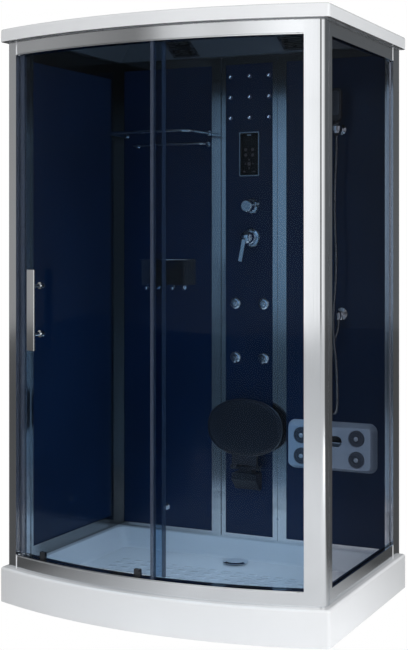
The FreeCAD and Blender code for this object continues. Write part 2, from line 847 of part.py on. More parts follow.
def make_door_glass():
    """Curved door pane, drilled for the handle's two bolts."""
    pane = bow_sector(
        "door_pane", s.door_glass_inset, DOOR_IN, s.door_bottom, s.door_top - s.door_bottom,
        -DOOR_LEFT, s.door_right)
    holes = []
    for i, side in enumerate((-1, 1)):
        body = new_body(f"handle_hole_{i}")
        reach = s.glass_thickness / 2 + 4
        pad(body, circles(body, "XZ_Plane", [(0, 0)], s.handle_post - 2, -reach), 2 * reach)
        on_bow(body, HANDLE_ANGLE, DOOR_RADIUS, s.handle_height + side * s.handle_pitch / 2)
        holes.append(body)
    node("door_glass", cut("drilled_door_pane", pane, *holes))


def make_door_seals():
    """Magnet strip on the closing edge and a lip seal on the trailing edge."""
    height = s.door_top - s.door_bottom
    magnet = bow_sector(
        "magnet_strip", s.door_glass_inset - 2, DOOR_IN + 2, s.door_bottom, height,
        -DOOR_LEFT - s.magnet_width + 2.8, -DOOR_LEFT)
    trailing = bow_sector(
        "trailing_strip", s.door_glass_inset - 1.5, DOOR_IN + 1.5, s.door_bottom, height,
        s.door_right, s.door_right + s.door_seal)
    node("door_seals", group("door_strips", magnet, trailing))


def make_handle():
    """Flat bar handle on two posts, bolted through the glass to two round caps."""
    body = new_body("handle")
    glass_out = -s.glass_thickness / 2
    bar_back = glass_out - s.handle_reach
    bar_front = bar_back - s.handle_thickness
    half = s.handle_width / 2
    corners, bulges = rounded(-half, bar_front, half, bar_back, as_size(3))
    start = -s.handle_length / 2
    pad(body, outline(body, "XY_Plane", corners, bulges, start), s.handle_length)
    for side in (-1, 1):
        level = side * s.handle_pitch / 2
        glass_in = s.glass_thickness / 2 + CLIP_GAP
        profile = [
            (0, bar_back - 1), (s.handle_post, bar_back - 1), (s.handle_post, glass_out - 4),
            (s.handle_post + 5, glass_out - 3), (s.handle_post + 5, glass_out - CLIP_GAP),
            (s.handle_post - 2.4, glass_out - CLIP_GAP), (s.handle_post - 2.4, glass_in),
            (s.handle_post + 5, glass_in), (s.handle_post + 5, glass_in + 4), (s.handle_post, glass_in + 6),
            (0, glass_in + 6)]
        revolve(body, outline(body, "XY_Plane", profile, level=level))
    node("door_handle", on_bow(body, HANDLE_ANGLE, DOOR_RADIUS, s.handle_height))


def make_hangers():
    """Clips over the door's top edge, each with the axle of one wheel."""
    clips = []
    inner = s.glass_thickness / 2 + CLIP_GAP
    for i, angle in enumerate(HANGER_ANGLES):
        body = new_body(f"hanger_{i}")
        bottom = HEADER_BOTTOM + 3
        bridge = s.door_top + CLIP_GAP
        half = s.hanger_width / 2
        outer_plate = rectangle(-half, -inner - PLATE, half, -inner)
        inner_plate = rectangle(-half, inner, half, inner + PLATE)
        pad(body, outline(body, "XY_Plane", outer_plate, level=bottom), bridge + 3 - bottom)
        pad(body, outline(body, "XY_Plane", rectangle(-half, -inner - 1, half, inner + 1), level=bridge), 3)
        pad(body, outline(body, "XY_Plane", inner_plate, level=bottom), WHEEL_CENTRE + 8 - bottom)
        axle_end = inner + PLATE + s.wheel_width + 0.8
        axle = rectangle(0, inner, s.axle_radius, axle_end)
        revolve(body, outline(body, "XY_Plane", axle, level=WHEEL_CENTRE))
        clips.append(on_bow(body, angle, DOOR_RADIUS))
    node("door_hangers", group("hanger_pair", *clips))


def make_wheel(label, angle):
    """Nylon wheel with a steel-bushed bore that rolls on the header's lip."""
    body = new_body(label + "_body")
    start = s.glass_thickness / 2 + CLIP_GAP + PLATE + 0.4
    finish = start + s.wheel_width
    profile = [
        (s.wheel_bore, start), (s.wheel_radius - 1, start), (s.wheel_radius, start + 1),
        (s.wheel_radius, finish - 1), (s.wheel_radius - 1, finish), (6, finish), (5.5, finish - 1),
        (s.wheel_bore, finish - 1)]
    revolve(body, outline(body, "XY_Plane", profile))
    ports = circles(body, "XZ_Plane", [(7.6, 0), (-3.8, 6.6), (-3.8, -6.6)], 1.3, -finish - 1)
    pocket(body, ports, s.wheel_width + 2, along=False)
    node(label, on_bow(body, angle, DOOR_RADIUS, WHEEL_CENTRE))


def make_guides():
    """Clips under the door whose tongues run in the sill's inner groove."""
    clips = []
    inner = s.glass_thickness / 2 + CLIP_GAP
    for i, angle in enumerate(HANGER_ANGLES):
        body = new_body(f"guide_{i}")
        half = s.guide_width / 2
        bottom = SILL_TOP + 1.5
        for low, high in ((-inner - PLATE, -inner), (inner, inner + PLATE)):
            pad(body, outline(body, "XY_Plane", rectangle(-half, low, half, high), level=bottom), s.guide_height)
            if low.number < 0:
                bridge = rectangle(-half, -inner - 1, half, inner + 1)
                pad(body, outline(body, "XY_Plane", bridge, level=bottom), s.door_bottom - CLIP_GAP - bottom)
        tongue = outline(body, "XY_Plane", rectangle(2 - half, -2.5, half - 2, 2.5), level=SILL_TOP - 9)
        pad(body, tongue, bottom + 1 - SILL_TOP + 9)
        clips.append(on_bow(body, angle, DOOR_RADIUS))
    node("door_guides", group("guide_pair", *clips))


# ---------------------------------------------------------------- wall panels

FRAME_HEIGHT = s.frame_top - s.tray_deck


def wall_module(label, width, stiles, rails, spot, holes=(), window=None):
    """Returns a metal frame with a rebate behind its lip, and the pane that seats there.

    holes are (radius, centres) in the frame's own plane; window is a square hole in the pane.
    """
    left, right = stiles
    bottom, top = rails
    frame = slab(f"{label}_border", rectangle(0, 0, width, FRAME_HEIGHT), s.wall_depth)
    opening = rectangle(left, bottom, width - right, FRAME_HEIGHT - top)
    pocket(frame, outline(frame, "XY_Plane", opening, level=s.wall_depth + 1), s.wall_depth + 2)
    grow = s.wall_rebate
    seat = rectangle(left - grow, bottom - grow, width - right + grow, FRAME_HEIGHT - top + grow)
    pocket(frame, outline(frame, "XY_Plane", seat, level=-1), s.wall_depth - s.wall_lip + 1, along=True)
    grow = s.wall_rebate - GLASS_GAP
    level = s.wall_depth - s.wall_lip - s.pane_thickness
    edges = rectangle(left - grow, bottom - grow, width - right + grow, FRAME_HEIGHT - top + grow)
    pane = slab(f"{label}_sheet", edges, s.pane_thickness, level=level)
    for radius, centres in holes:
        pocket(pane, circles(pane, "XY_Plane", centres, radius, level - 1), s.pane_thickness + 2, along=True)
    if window:
        pocket(pane, outline(pane, "XY_Plane", window, level=level - 1), s.pane_thickness + 2, along=True)
    return spot(frame), spot(pane)


COLUMN_LEFT = s.column_shift - s.column_half
COLUMN_RIGHT = s.column_shift + s.column_half
VALVE_X = s.column_shift + s.valve_shift
JETS = [
    (s.column_shift + side * s.jet_pitch, height)
    for height in (s.jet_upper, s.jet_lower) for side in (-1, 1)
]
MIXER_BORE = as_size(20)
DIVERTER_BORE = as_size(16)
OUTLET_BORE = as_size(12)
STEAM_BORE = as_size(12)


def make_walls():
    """Left wall, two back panels and the service column between them."""
    left_width = WALL_BACK - POST_END

    def on_left(thing):
        return place(thing, -OUTER_X, POST_END, s.tray_deck, FACE_RIGHT)

    stiles = (s.left_front_stile, s.left_rear_stile + s.wall_depth)
    frame, pane = wall_module("left_wall", left_width, stiles, (s.left_bottom_rail, s.left_top_rail), on_left)
    for start in (s.stile_bead + 2, s.left_front_stile - s.stile_bead):
        bead = outline(frame, "XY_Plane", rectangle(start, 0, start + s.stile_bead, FRAME_HEIGHT), level=s.wall_depth - 1)
        pad(frame, bead, 4)
    node("left_wall_frame", frame)
    node("left_wall_panel", pane)

    def on_back(start):
        return lambda thing: place(thing, start, WALL_BACK, s.tray_deck, FACE_FORWARD)

    rails = (s.back_bottom_rail, s.back_top_rail)
    left = -WALL_X
    up = s.steam_height - s.tray_deck
    left_frame, left_pane = wall_module(
        "back_left", COLUMN_LEFT - left, (s.back_outer_stile, s.back_inner_stile), rails, on_back(left),
        [(STEAM_BORE, [(-STEAM_LEFT - left, up)])])
    jets = [(x - COLUMN_LEFT, z - s.tray_deck) for x, z in JETS]
    keypad_x = s.column_shift - COLUMN_LEFT
    keypad_z = s.keypad_height - s.tray_deck
    window = rectangle(
        keypad_x - s.keypad_width / 2 + 7, keypad_z - s.keypad_length / 2 + 7,
        keypad_x + s.keypad_width / 2 - 7, keypad_z + s.keypad_length / 2 - 7)
    holes = [
        (s.jet_ball + 2.2, jets),
        (MIXER_BORE, [(VALVE_X - COLUMN_LEFT, s.mixer_height - s.tray_deck)]),
        (DIVERTER_BORE, [(VALVE_X - COLUMN_LEFT, DIVERTER_HEIGHT - s.tray_deck)]),
    ]
    frame, pane = wall_module(
        "column", 2 * s.column_half, (s.column_stile, s.column_stile), rails, on_back(COLUMN_LEFT), holes, window)
    node("column_frame", frame)
    node("column_panel", pane)
    right_frame, right_pane = wall_module(
        "back_right", OUTER_X - s.post_wall - COLUMN_RIGHT, (s.back_inner_stile - 4, s.back_outer_stile - 2),
        rails, on_back(COLUMN_RIGHT),
        [(OUTLET_BORE, [(HOLDER_X - COLUMN_RIGHT, s.outlet_height - s.tray_deck)])])
    node("back_wall_frames", group("back_frame_pair", left_frame, right_frame))
    node("back_wall_panels", group("back_pane_pair", left_pane, right_pane))


# ---------------------------------------------------------------- service column

MIXER_CENTRE = as_size(42)
INLET_RADIUS = as_size(10.475)
CUP_SINE = math.sin(math.radians(52))
CUP_COSINE = math.cos(math.radians(52))


def make_lights():
    """Nine small domed lights in three rows."""
    lights = []
    for row in range(3):
        for column in (-1, 0, 1):
            light = turned(f"light_{row}_{column + 1}", [
                (0, 0), (s.led_radius, 0), (s.led_radius, 2), (s.led_radius - 4, 5), (0, 6)])
            x = s.column_shift + column * s.led_pitch
            lights.append(on_back_wall(light, x, s.led_top - row * s.led_row))
    node("led_lights", group("light_set", *lights))


def make_keypad():
    """Touch control panel: a flat face on the pane, its case behind it."""
    half_w = s.keypad_width / 2
    half_h = s.keypad_length / 2
    corners, bulges = rounded(-half_w, -half_h, half_w, half_h, as_size(5))
    body = slab("keypad", corners, 5, bulges)
    case = rectangle(8 - half_w, 8 - half_h, half_w - 8, half_h - 8)
    pad(body, outline(body, "XY_Plane", case), s.pane_thickness + 18, back=True)
    face = rectangle(5 - half_w, 5 - half_h, half_w - 5, half_h - 5)
    pocket(body, outline(body, "XY_Plane", face, level=6), 2)
    node("control_panel", on_back_wall(body, s.column_shift, s.keypad_height))


def make_valves():
    """Brass mixing valve and diverter behind the pane, and their trim in front."""
    barrel_y = PANE_BACK + s.valve_setback
    below = s.inlet_drop
    barrel = cylinder("valve_barrel", s.valve_barrel, DIVERTER_HEIGHT - s.mixer_height + 2 * below)
    place(barrel, VALVE_X, barrel_y, s.mixer_height - below)
    pieces = [barrel]
    for name, height, radius in (
            ("mixer_stem", s.mixer_height, MIXER_BORE - 1), ("diverter_stem", DIVERTER_HEIGHT, DIVERTER_BORE - 1)):
        stem = cylinder(name, radius, s.pane_thickness + s.valve_setback)
        pieces.append(place(stem, VALVE_X, barrel_y, height, FACE_FORWARD))
    reach = s.inlet_pitch / 2
    arm_height = s.mixer_height - below / 2
    arm = cylinder("inlet_arm", s.inlet_arm, 2 * (reach + s.inlet_arm))
    pieces.append(place(arm, VALVE_X - reach - s.inlet_arm, barrel_y, arm_height, Rotation(Y_AXIS, 90)))
    for name, side in (("hot", -1), ("cold", 1)):
        x = VALVE_X + side * reach
        elbow = cylinder(f"{name}_elbow", s.valve_barrel, below)
        pieces.append(place(elbow, x, barrel_y, s.mixer_height - below))
        pipe = cylinder(f"{name}_inlet", INLET_RADIUS, s.inlet_length)
        pieces.append(place(pipe, x, barrel_y, s.mixer_height - below - s.inlet_length))
    out = cylinder("outlet_arm", s.inlet_arm - 2, 2 * (s.jet_pitch + s.valve_barrel))
    spot = s.column_shift - s.jet_pitch - s.valve_barrel
    pieces.append(place(out, spot, barrel_y, DIVERTER_HEIGHT - 0.75 * below, Rotation(Y_AXIS, 90)))
    node("valve_body", fuse("valve_casting", *pieces))

    rosettes = []
    for name, height, radius, hole in (
            ("mixer", s.mixer_height, 40, s.mixer_ball - 5), ("diverter", DIVERTER_HEIGHT, 33, 15)):
        rosette = turned(f"{name}_rosette", [
            (hole, 0), (radius, 0), (radius, 3), (radius - 4, 9), (hole + 8, 12), (hole, 12)])
        rosettes.append(on_back_wall(rosette, VALVE_X, height))
    node("valve_rosettes", group("rosette_pair", *rosettes))

    ball = s.mixer_ball
    neck = ball - 5.2
    cap = turned("mixer_dome", [
        (0, 0), (neck, 0), (neck, 13), (ball, 15), (ball, MIXER_CENTRE), (0, MIXER_CENTRE + ball)],
        {4: ball})
    node("mixer_cap", on_back_wall(cap, VALVE_X, s.mixer_height))

    inner = ball + SEAT_GAP
    outer = ball + 4.5
    lever = turned("lever_cup", [
        (0, MIXER_CENTRE + inner), (inner * CUP_SINE, MIXER_CENTRE + inner * CUP_COSINE),
        (outer * CUP_SINE, MIXER_CENTRE + outer * CUP_COSINE), (0, MIXER_CENTRE + outer)],
        {0: -inner, 2: outer})
    centre = MIXER_CENTRE
    tip = -s.lever_length
    blade = [
        (-8, centre + outer - 3), (-20, centre + outer - 9), (tip, centre + outer + 5),
        (tip - 3, centre + outer + 9), (tip, centre + outer + 13), (-34, centre + outer + 4.5), (-8, centre + outer)]
    side_view = outline(lever, "YZ_Plane", list(reversed(blade)), level=-8)
    pad(lever, side_view, 16)
    on_back_wall(lever, VALVE_X, s.mixer_height)
    tilt = FACE_FORWARD.multiply(Rotation(Z_AXIS, -s.lever_tilt.number))
    lever.Placement = FreeCAD.Placement(lever.Placement.Base, tilt)
    node("mixer_lever", lever)

    knob = turned("diverter_grip", [
        (0, 0), (14.6, 0), (14.6, 12.4), (24, 13), (24, 52), (21, 55), (0, 55)])
    pad(knob, circles(knob, "YZ_Plane", [(0, 42)], 3.2, 20), 30)
    pad(knob, circles(knob, "YZ_Plane", [(0, 42)], 4.8, 49), 7)
    on_back_wall(knob, VALVE_X, DIVERTER_HEIGHT)
    knob.Placement = FreeCAD.Placement(knob.Placement.Base, FACE_FORWARD.multiply(Rotation(Z_AXIS, 11)))
    node("diverter_knob", knob)


# ---------------------------------------------------------------- jets, steam outlet, seat

def make_jets():
    """Four body jets: a socket clamped through the pane, and a ball nozzle in each."""
    centre = 2
    inner = s.jet_ball + 0.2
    low_sine, low_cosine = -math.sin(math.radians(40)), math.cos(math.radians(40))
    high_sine, high_cosine = math.sin(math.radians(30)), math.cos(math.radians(30))
    sockets = []
    for i, (x, z) in enumerate(JETS, 1):
        barrel = s.jet_ball + 1.9
        low = centre + inner * low_sine
        high = centre + inner * high_sine
        socket = turned(f"jet_socket_{i}", [
            (inner * low_cosine, low), (barrel, low), (barrel, 0), (s.jet_flange, 0), (s.jet_flange, 3),
            (s.jet_flange - 5, 7), (inner * high_cosine + 2, high), (inner * high_cosine, high)],
            {7: -inner})
        sockets.append(on_back_wall(socket, x, z))
        ball = s.jet_ball
        front, front_radius = centre + 0.8 * ball, 0.6 * ball
        back, back_radius = centre - 0.6 * ball, 0.8 * ball
        nozzle = turned(f"jet_ball_{i}", [
            (0, back), (back_radius, back), (front_radius, front), (3.5, front), (2.5, front - 6),
            (0, front - 6)], {1: ball})
        node(f"jet_nozzle_{i}", on_back_wall(nozzle, x, z))
    node("jet_bases", group("jet_sockets", *sockets))


def make_steam_outlet():
    """Small round nozzle on the pane with a threaded spigot behind it."""
    barrel = STEAM_BORE - 0.3
    back = -s.pane_thickness - 26
    body = turned("steam_nozzle", [
        (0, back), (INLET_RADIUS, back), (INLET_RADIUS, -s.pane_thickness - 2), (barrel, -s.pane_thickness - 2),
        (barrel, 0), (16, 0), (16, 5), (13, 9), (6, 10), (6, 6), (0, 6)])
    node("steam_outlet", on_back_wall(body, -STEAM_LEFT, s.steam_height))


def make_seat():
    """Fold-up seat: wall bracket with one hinge barrel, oval board with two, and the pin."""
    neck_depth = 22
    knuckle = 29
    half_neck = s.seat_neck / 2
    bracket = new_body("bracket")
    top = -neck_depth - 1
    reach = s.seat_reach
    profile = [(top, 0), (top, reach + neck_depth), (top - 25, reach + neck_depth), (top - 69, 20), (top - 69, 0)]
    pad(bracket, outline(bracket, "YZ_Plane", list(reversed(profile)), level=-half_neck), s.seat_neck)
    web = [(top - 1, 0), (s.seat_barrel, 0), (s.seat_barrel, reach), (0, reach + s.seat_barrel - 0.5),
           (top - 1, reach + s.seat_barrel - 0.5)]
    pad(bracket, outline(bracket, "YZ_Plane", list(reversed(web)), level=-knuckle), 2 * knuckle)
    hub = circles(bracket, "YZ_Plane", [(0, reach)], s.seat_barrel, -knuckle)
    pad(bracket, hub, 2 * knuckle)
    bore = circles(bracket, "YZ_Plane", [(0, reach)], s.seat_pin + 0.03, -knuckle - 1)
    pocket(bracket, bore, 2 * knuckle + 2, along=True)
    node("seat_bracket", on_back_wall(bracket, s.column_shift, s.seat_pivot))

    board = new_body("board")
    half = s.seat_width / 2
    low = s.seat_rise
    corners, bulges = rounded(-half, low, half, low + s.seat_length, s.seat_end)
    face = reach - 2
    pad(board, outline(board, "XY_Plane", corners, bulges, face), s.seat_thickness)
    round_edges(board, s.seat_thickness / 3, lambda edge: True)
    start = s.seat_barrel + 5
    neck = outline(board, "XY_Plane", rectangle(-half_neck, start, half_neck, low + 30), level=reach)
    pad(board, neck, neck_depth)
    for side in (-1, 1):
        inner = knuckle + 0.4
        width = 37
        level = inner if side > 0 else -inner - width
        pad(board, circles(board, "YZ_Plane", [(0, reach)], s.seat_barrel, level), width)
        arm_profile = [(0, reach - s.seat_barrel), (start + 1, reach), (start + 1, reach + neck_depth),
                       (0, reach + s.seat_barrel)]
        arm_width = half_neck - inner
        arm_level = inner if side > 0 else -half_neck
        pad(board, outline(board, "YZ_Plane", arm_profile, level=arm_level), arm_width)
    bore = circles(board, "YZ_Plane", [(0, reach)], s.seat_pin + 0.05, -90)
    pocket(board, bore, 180, along=True)
    node("seat_board", on_back_wall(board, s.column_shift, s.seat_pivot))

    pin = new_body("hinge_pin")
    pad(pin, circles(pin, "YZ_Plane", [(0, reach)], s.seat_pin, -68), 136)
    node("seat_pin", on_back_wall(pin, s.column_shift, s.seat_pivot))


# ---------------------------------------------------------------- foot massager

PAD_SPOTS = [(i * s.pad_across / 2, j * s.pad_up / 2) for j in (1, -1) for i in (-1, 1)]
PAD_RECESS = 10


def make_massager():
    """Wall housing with four turning ribbed discs and a barred slot between them."""
    body = new_body("massager")
    half_w = s.massager_width / 2
    half_l = s.massager_length / 2
    corners, bulges = rounded(-half_w, -half_l, half_w, half_l, as_size(32))
    base = pad(body, outline(body, "XY_Plane", corners, bulges), s.massager_depth)
    base.TaperAngle = -21
    front = s.massager_depth.number
    round_edges(body, 5, is_level_at(front))
    recess = circles(body, "XY_Plane", PAD_SPOTS, s.pad_radius + 1.5, s.massager_depth + 1)
    pocket(body, recess, PAD_RECESS + 1)
    pins = circles(body, "XY_Plane", PAD_SPOTS, 3, s.massager_depth - PAD_RECESS - 1)
    pad(body, pins, PAD_RECESS)
    half = s.toe_slot_height / 2
    end = s.toe_slot_width / 2
    rise = s.toe_slot_rise
    slot = [(half - end, rise - half), (end - half, rise - half), (end, rise), (end - half, rise + half),
            (half - end, rise + half), (-end, rise)]
    round_ends = {1: half, 2: half, 4: half, 5: half}
    pocket(body, outline(body, "XY_Plane", slot, round_ends, s.massager_depth + 1), 31)
    bar = circles(body, "YZ_Plane", [(rise - 7, s.massager_depth - 8)], 3, -end)
    pad(body, bar, 2 * end)
    node("massager_housing", on_back_wall(body, MASSAGER_X, s.massager_height))
    for i, (x, y) in enumerate(PAD_SPOTS, 1):
        radius = s.pad_radius
        disc = turned(f"disc_{i}", [
            (3.05, 0.4), (radius, 0.4), (radius, 9), (radius - 4, 11), (radius - 7, 9), (radius - 11, 9),
            (radius - 14, 11), (radius - 17, 9), (12, 9), (9, 14), (3.05, 15)])
        ribs = outline(disc, "XY_Plane", rectangle(13, -1.5, radius - 1, 1.5), level=8)
        rib = pad(disc, ribs, 4)
        pattern = disc.newObject("PartDesign::PolarPattern", "rib_ring")
        pattern.Originals = [rib]
        pattern.Axis = (ribs, ["N_Axis"])
        pattern.Angle = 360
        pattern.Occurrences = 8
        disc.Tip = pattern
        spot_x = MASSAGER_X + x
        spot_z = s.massager_height + y
        node(f"massage_disc_{i}", on_back_wall(disc, spot_x, spot_z, s.massager_depth - PAD_RECESS))


# ---------------------------------------------------------------- shelf, rails, handset

def wall_rail(name, left, right, height, reach, bend, radius, flange):
    """A U-shaped tube from wall to wall, drawn level, with a round flange at each end."""
    body = new_body(name)
    path = body.newObject("Sketcher::SketchObject", f"{name}_path")
    path.AttachmentSupport = [([f for f in body.Origin.OriginFeatures if f.Role == "XZ_Plane"][0], "")]
    path.MapMode = "FlatFace"
    span = right - left
    stops = [(as_size(0), as_size(0)), (as_size(0), reach - bend), (bend, reach), (span - bend, reach),
             (span, reach - bend), (span, as_size(0))]
    points = [Vector(x.number, y.number, 0) for x, y in stops]
    near = Vector(bend.number, reach.number - bend.number, 0)
    far = Vector(span.number - bend.number, reach.number - bend.number, 0)
    path.addGeometry([
        Part.LineSegment(points[0], points[1]),
        Part.ArcOfCircle(Part.Circle(near, Z_AXIS, bend.number), math.pi / 2, math.pi),
        Part.LineSegment(points[2], points[3]),
        Part.ArcOfCircle(Part.Circle(far, Z_AXIS, bend.number), 0, math.pi / 2),
        Part.LineSegment(points[4], points[5]),
    ], False)
    path.addConstraint([
        Sketcher.Constraint("Coincident", 0, 2, 1, 2),
        Sketcher.Constraint("Coincident", 1, 1, 2, 1),
        Sketcher.Constraint("Coincident", 2, 2, 3, 2),
        Sketcher.Constraint("Coincident", 3, 1, 4, 1),
    ])
    joints = [(0, 1, stops[0]), (0, 2, stops[1]), (2, 1, stops[2]), (2, 2, stops[3]), (4, 1, stops[4]),
              (4, 2, stops[5])]
    for line, end, (x, y) in joints:
        for kind, amount in (("DistanceX", x), ("DistanceY", y)):
            number = path.addConstraint(Sketcher.Constraint(kind, line, end, amount.number))
            path.setExpression(f"Constraints[{number}]", amount.formula)
    for arc in (1, 3):
        number = path.addConstraint(Sketcher.Constraint("Radius", arc, bend.number))
        path.setExpression(f"Constraints[{number}]", bend.formula)
    section = circles(body, "XY_Plane", [(0, 0)], radius)
    pipe = body.newObject("PartDesign::AdditivePipe", f"{name}_pipe")
    pipe.Profile = section
    pipe.Spine = path
    for x in (as_size(0), span):
        pad(body, circles(body, "XY_Plane", [(x, 0)], flange), 5)
    return on_back_wall(body, left, height)


def make_rails():
    """Long towel rail and the short rail below it."""
    upper = wall_rail("upper_rail", -RACK_LEFT, -s.rack_right, s.rack_height, s.rack_reach, s.rack_bend,
                      s.rack_tube, s.rack_tube + 6)
    lower = wall_rail("lower_rail", -BAR_LEFT, -s.bar_right, s.bar_height, s.bar_reach, as_size(16),
                      s.rack_tube - 1, s.rack_tube + 5)
    node("towel_rails", group("rail_pair", upper, lower))


def make_basket():
    """Clear open-topped basket on two round brackets."""
    body = new_body("basket")
    width, reach, wall = s.basket_width, s.basket_reach, s.basket_wall
    corner = as_size(24)

    def plan(inset):
        inner = corner - inset
        corners = [
            (inset, -inset), (inset, inset + inner - reach), (inset + inner, inset - reach),
            (width - inset - inner, inset - reach), (width - inset, inset + inner - reach),
            (width - inset, -inset)]
        return corners, {1: inner, 3: inner}

    corners, bulges = plan(as_size(0))
    pad(body, outline(body, "XY_Plane", corners, bulges), s.basket_length)
    corners, bulges = plan(wall)
    pocket(body, outline(body, "XY_Plane", corners, bulges, s.basket_length + 1), s.basket_length + 1 - wall)
    cutaway = outline(body, "XZ_Plane", rectangle(34, s.basket_length - 38, width - 34, s.basket_length + 1),
                      level=reach + 1)
    pocket(body, cutaway, wall + 2)
    drains = circles(body, "XY_Plane", [(width / 2 + i * 40, -reach / 2) for i in (-1, 0, 1)], 5, wall + 1)
    pocket(body, drains, wall + 2)
    node("shelf_basket", place(body, -BASKET_LEFT, PANE_Y, s.basket_height))
    pegs = []
    for side in (0, 1):
        peg = turned(f"basket_peg_{side}", [
            (0, 0), (12, 0), (12, 4), (5, 6), (5, reach - 22), (7.5, reach - 20), (7.5, reach - 10), (0, reach - 8)])
        x = -BASKET_LEFT + 25 + side * s.bracket_pitch
        pegs.append(on_back_wall(peg, x, s.basket_height - 12))
        saddle = outline(peg, "XY_Plane", rectangle(-4, 0, 4, 12), level=10)
        pad(peg, saddle, reach - 40)
    node("shelf_brackets", group("basket_pegs", *pegs))


def make_handset():
    """Holder with its ring, the handset that hangs in it, and the outlet for its hose."""
    reach = s.holder_reach
    bore = s.handset_neck + 0.05
    holder = turned("holder", [(0, 0), (20, 0), (20, 4), (9, 8), (9, reach - bore - 3), (0, reach - bore - 3)])
    ring = [(bore, -18), (bore + 6, -18), (bore + 11, -9), (bore + 11, 9), (bore + 6, 18), (bore, 18)]
    revolve(holder, outline(holder, "XY_Plane", ring, level=reach))
    node("handset_holder", on_back_wall(holder, HOLDER_X, s.holder_height))

    handset = new_body("handset")
    neck = s.handset_neck
    shank = [(0, -28), (9.5, -28), (9.5, -22), (neck, -20), (neck, 18.1), (neck + 3, 18.1), (neck + 3, 26),
             (neck - 1, 34), (0, 34)]
    revolve(handset, outline(handset, "XY_Plane", shank, level=reach))
    half = s.handset_width / 2
    corners, bulges = rounded(-half, 30, half, 30 + s.handset_length, as_size(16))
    head = outline(handset, "XY_Plane", corners, bulges, reach - s.handset_thickness / 2)
    pad(handset, head, s.handset_thickness)
    low, high = (reach - s.handset_thickness / 2).number, (reach + s.handset_thickness / 2).number
    round_edges(handset, 6, lambda edge: is_level_at(low)(edge) or is_level_at(high)(edge))
    node("handset", on_back_wall(handset, HOLDER_X, s.holder_height))

    out = s.outlet_reach
    barrel = OUTLET_BORE - 0.3
    back = -s.pane_thickness - 26
    outlet = turned("outlet", [
        (0, back), (INLET_RADIUS, back), (INLET_RADIUS, -s.pane_thickness - 2), (barrel, -s.pane_thickness - 2),
        (barrel, 0), (24, 0), (24, 3), (11, 9), (11, out), (0, out)])
    elbow = [(0, -20), (10, -20), (11, -18), (11, 0), (0, 11)]
    revolve(outlet, outline(outlet, "XY_Plane", elbow, {3: as_size(11)}, level=out))
    node("hose_outlet", on_back_wall(outlet, HOLDER_X, s.outlet_height))


# Corners of the hose's centre line, from the handset to the outlet: across, out from the pane, up.
# The first and last are given by the fittings; the rest hang as a loop below the outlet.
HOSE_DRIFT = (
    (0, 0, -78),
    (-7, 0, -188),
    (-8, 0, -328),
    (0, 2, -468),
    (-2, 5, -588),
    (-11, 11, -698),
    (-6, 17, -798),
    (9, 25, -898),
    (13, 28, -993),
    (14, 28, -1064),
    (-2, 8, -1090),
    (-25, -21, -1090),
    (-42, -41, -1064),
    (-43, -42, -1003),
    (-39, -40, -908),
    (-27, -32, -813),
)


def make_hose():
    """Flexible hose from the handset down in a loop and up to the outlet."""
    start = Vector(
        HOLDER_X.number, (PANE_Y - s.holder_reach).number, s.holder_height.number - 28)
    end = Vector(
        HOLDER_X.number, (PANE_Y - s.outlet_reach).number, s.outlet_height.number - 20)
    points = [start]
    for across, out, up in HOSE_DRIFT:
        points.append(start + Vector(across, -out, up))
    points.append(end - Vector(0, 0, 46))
    points.append(end)
    bends = []
    for before, corner, after in zip(points, points[1:], points[2:]):
        shorter = min((corner - before).Length, (after - corner).Length)
        turn = (corner - before).getAngle(after - corner)
        bends.append(0.45 * shorter / math.tan(turn / 2))
    radius = s.hose_diameter.number / 2
    path, tube = round_tube(points, radius, bends)
    hose = doc.addObject("Part::Feature", "hose")
    hose.Shape = tube
    print(f"tightest hose bend {min(bends):.0f} mm")
    print(f"hose length {path.Length:.0f} mm, volume {tube.Volume:.0f} mm3, "
          f"section times length {math.pi * radius ** 2 * path.Length:.0f} mm3")
    node("shower_hose", hose)


# ---------------------------------------------------------------- roof

DOME_SLOPE = arctangent(s.dome_rise / s.dome_run)
DOME_REAR = WALL_Y - s.dome_margin
DOME_SIDE = WALL_X - s.dome_margin
DOME_FRONT_Y = FRONT + s.dome_front


def dome_plan(inset):
    side = DOME_SIDE - inset
    return rectangle(-side, DOME_FRONT_Y + inset, side, DOME_REAR - inset)


def on_slope(thing, x):
    """Puts a piece on the dome's rear slope; its own Z then points up through the roof."""
    down = s.grille_setback
    y = DOME_REAR - down
    z = s.frame_top + down * s.dome_rise / s.dome_run
    place(thing, x, y, z, Rotation(X_AXIS, -DOME_SLOPE.number))
    thing.setExpression("Placement.Rotation.Angle", (degrees(0) - DOME_SLOPE).formula)
    return thing


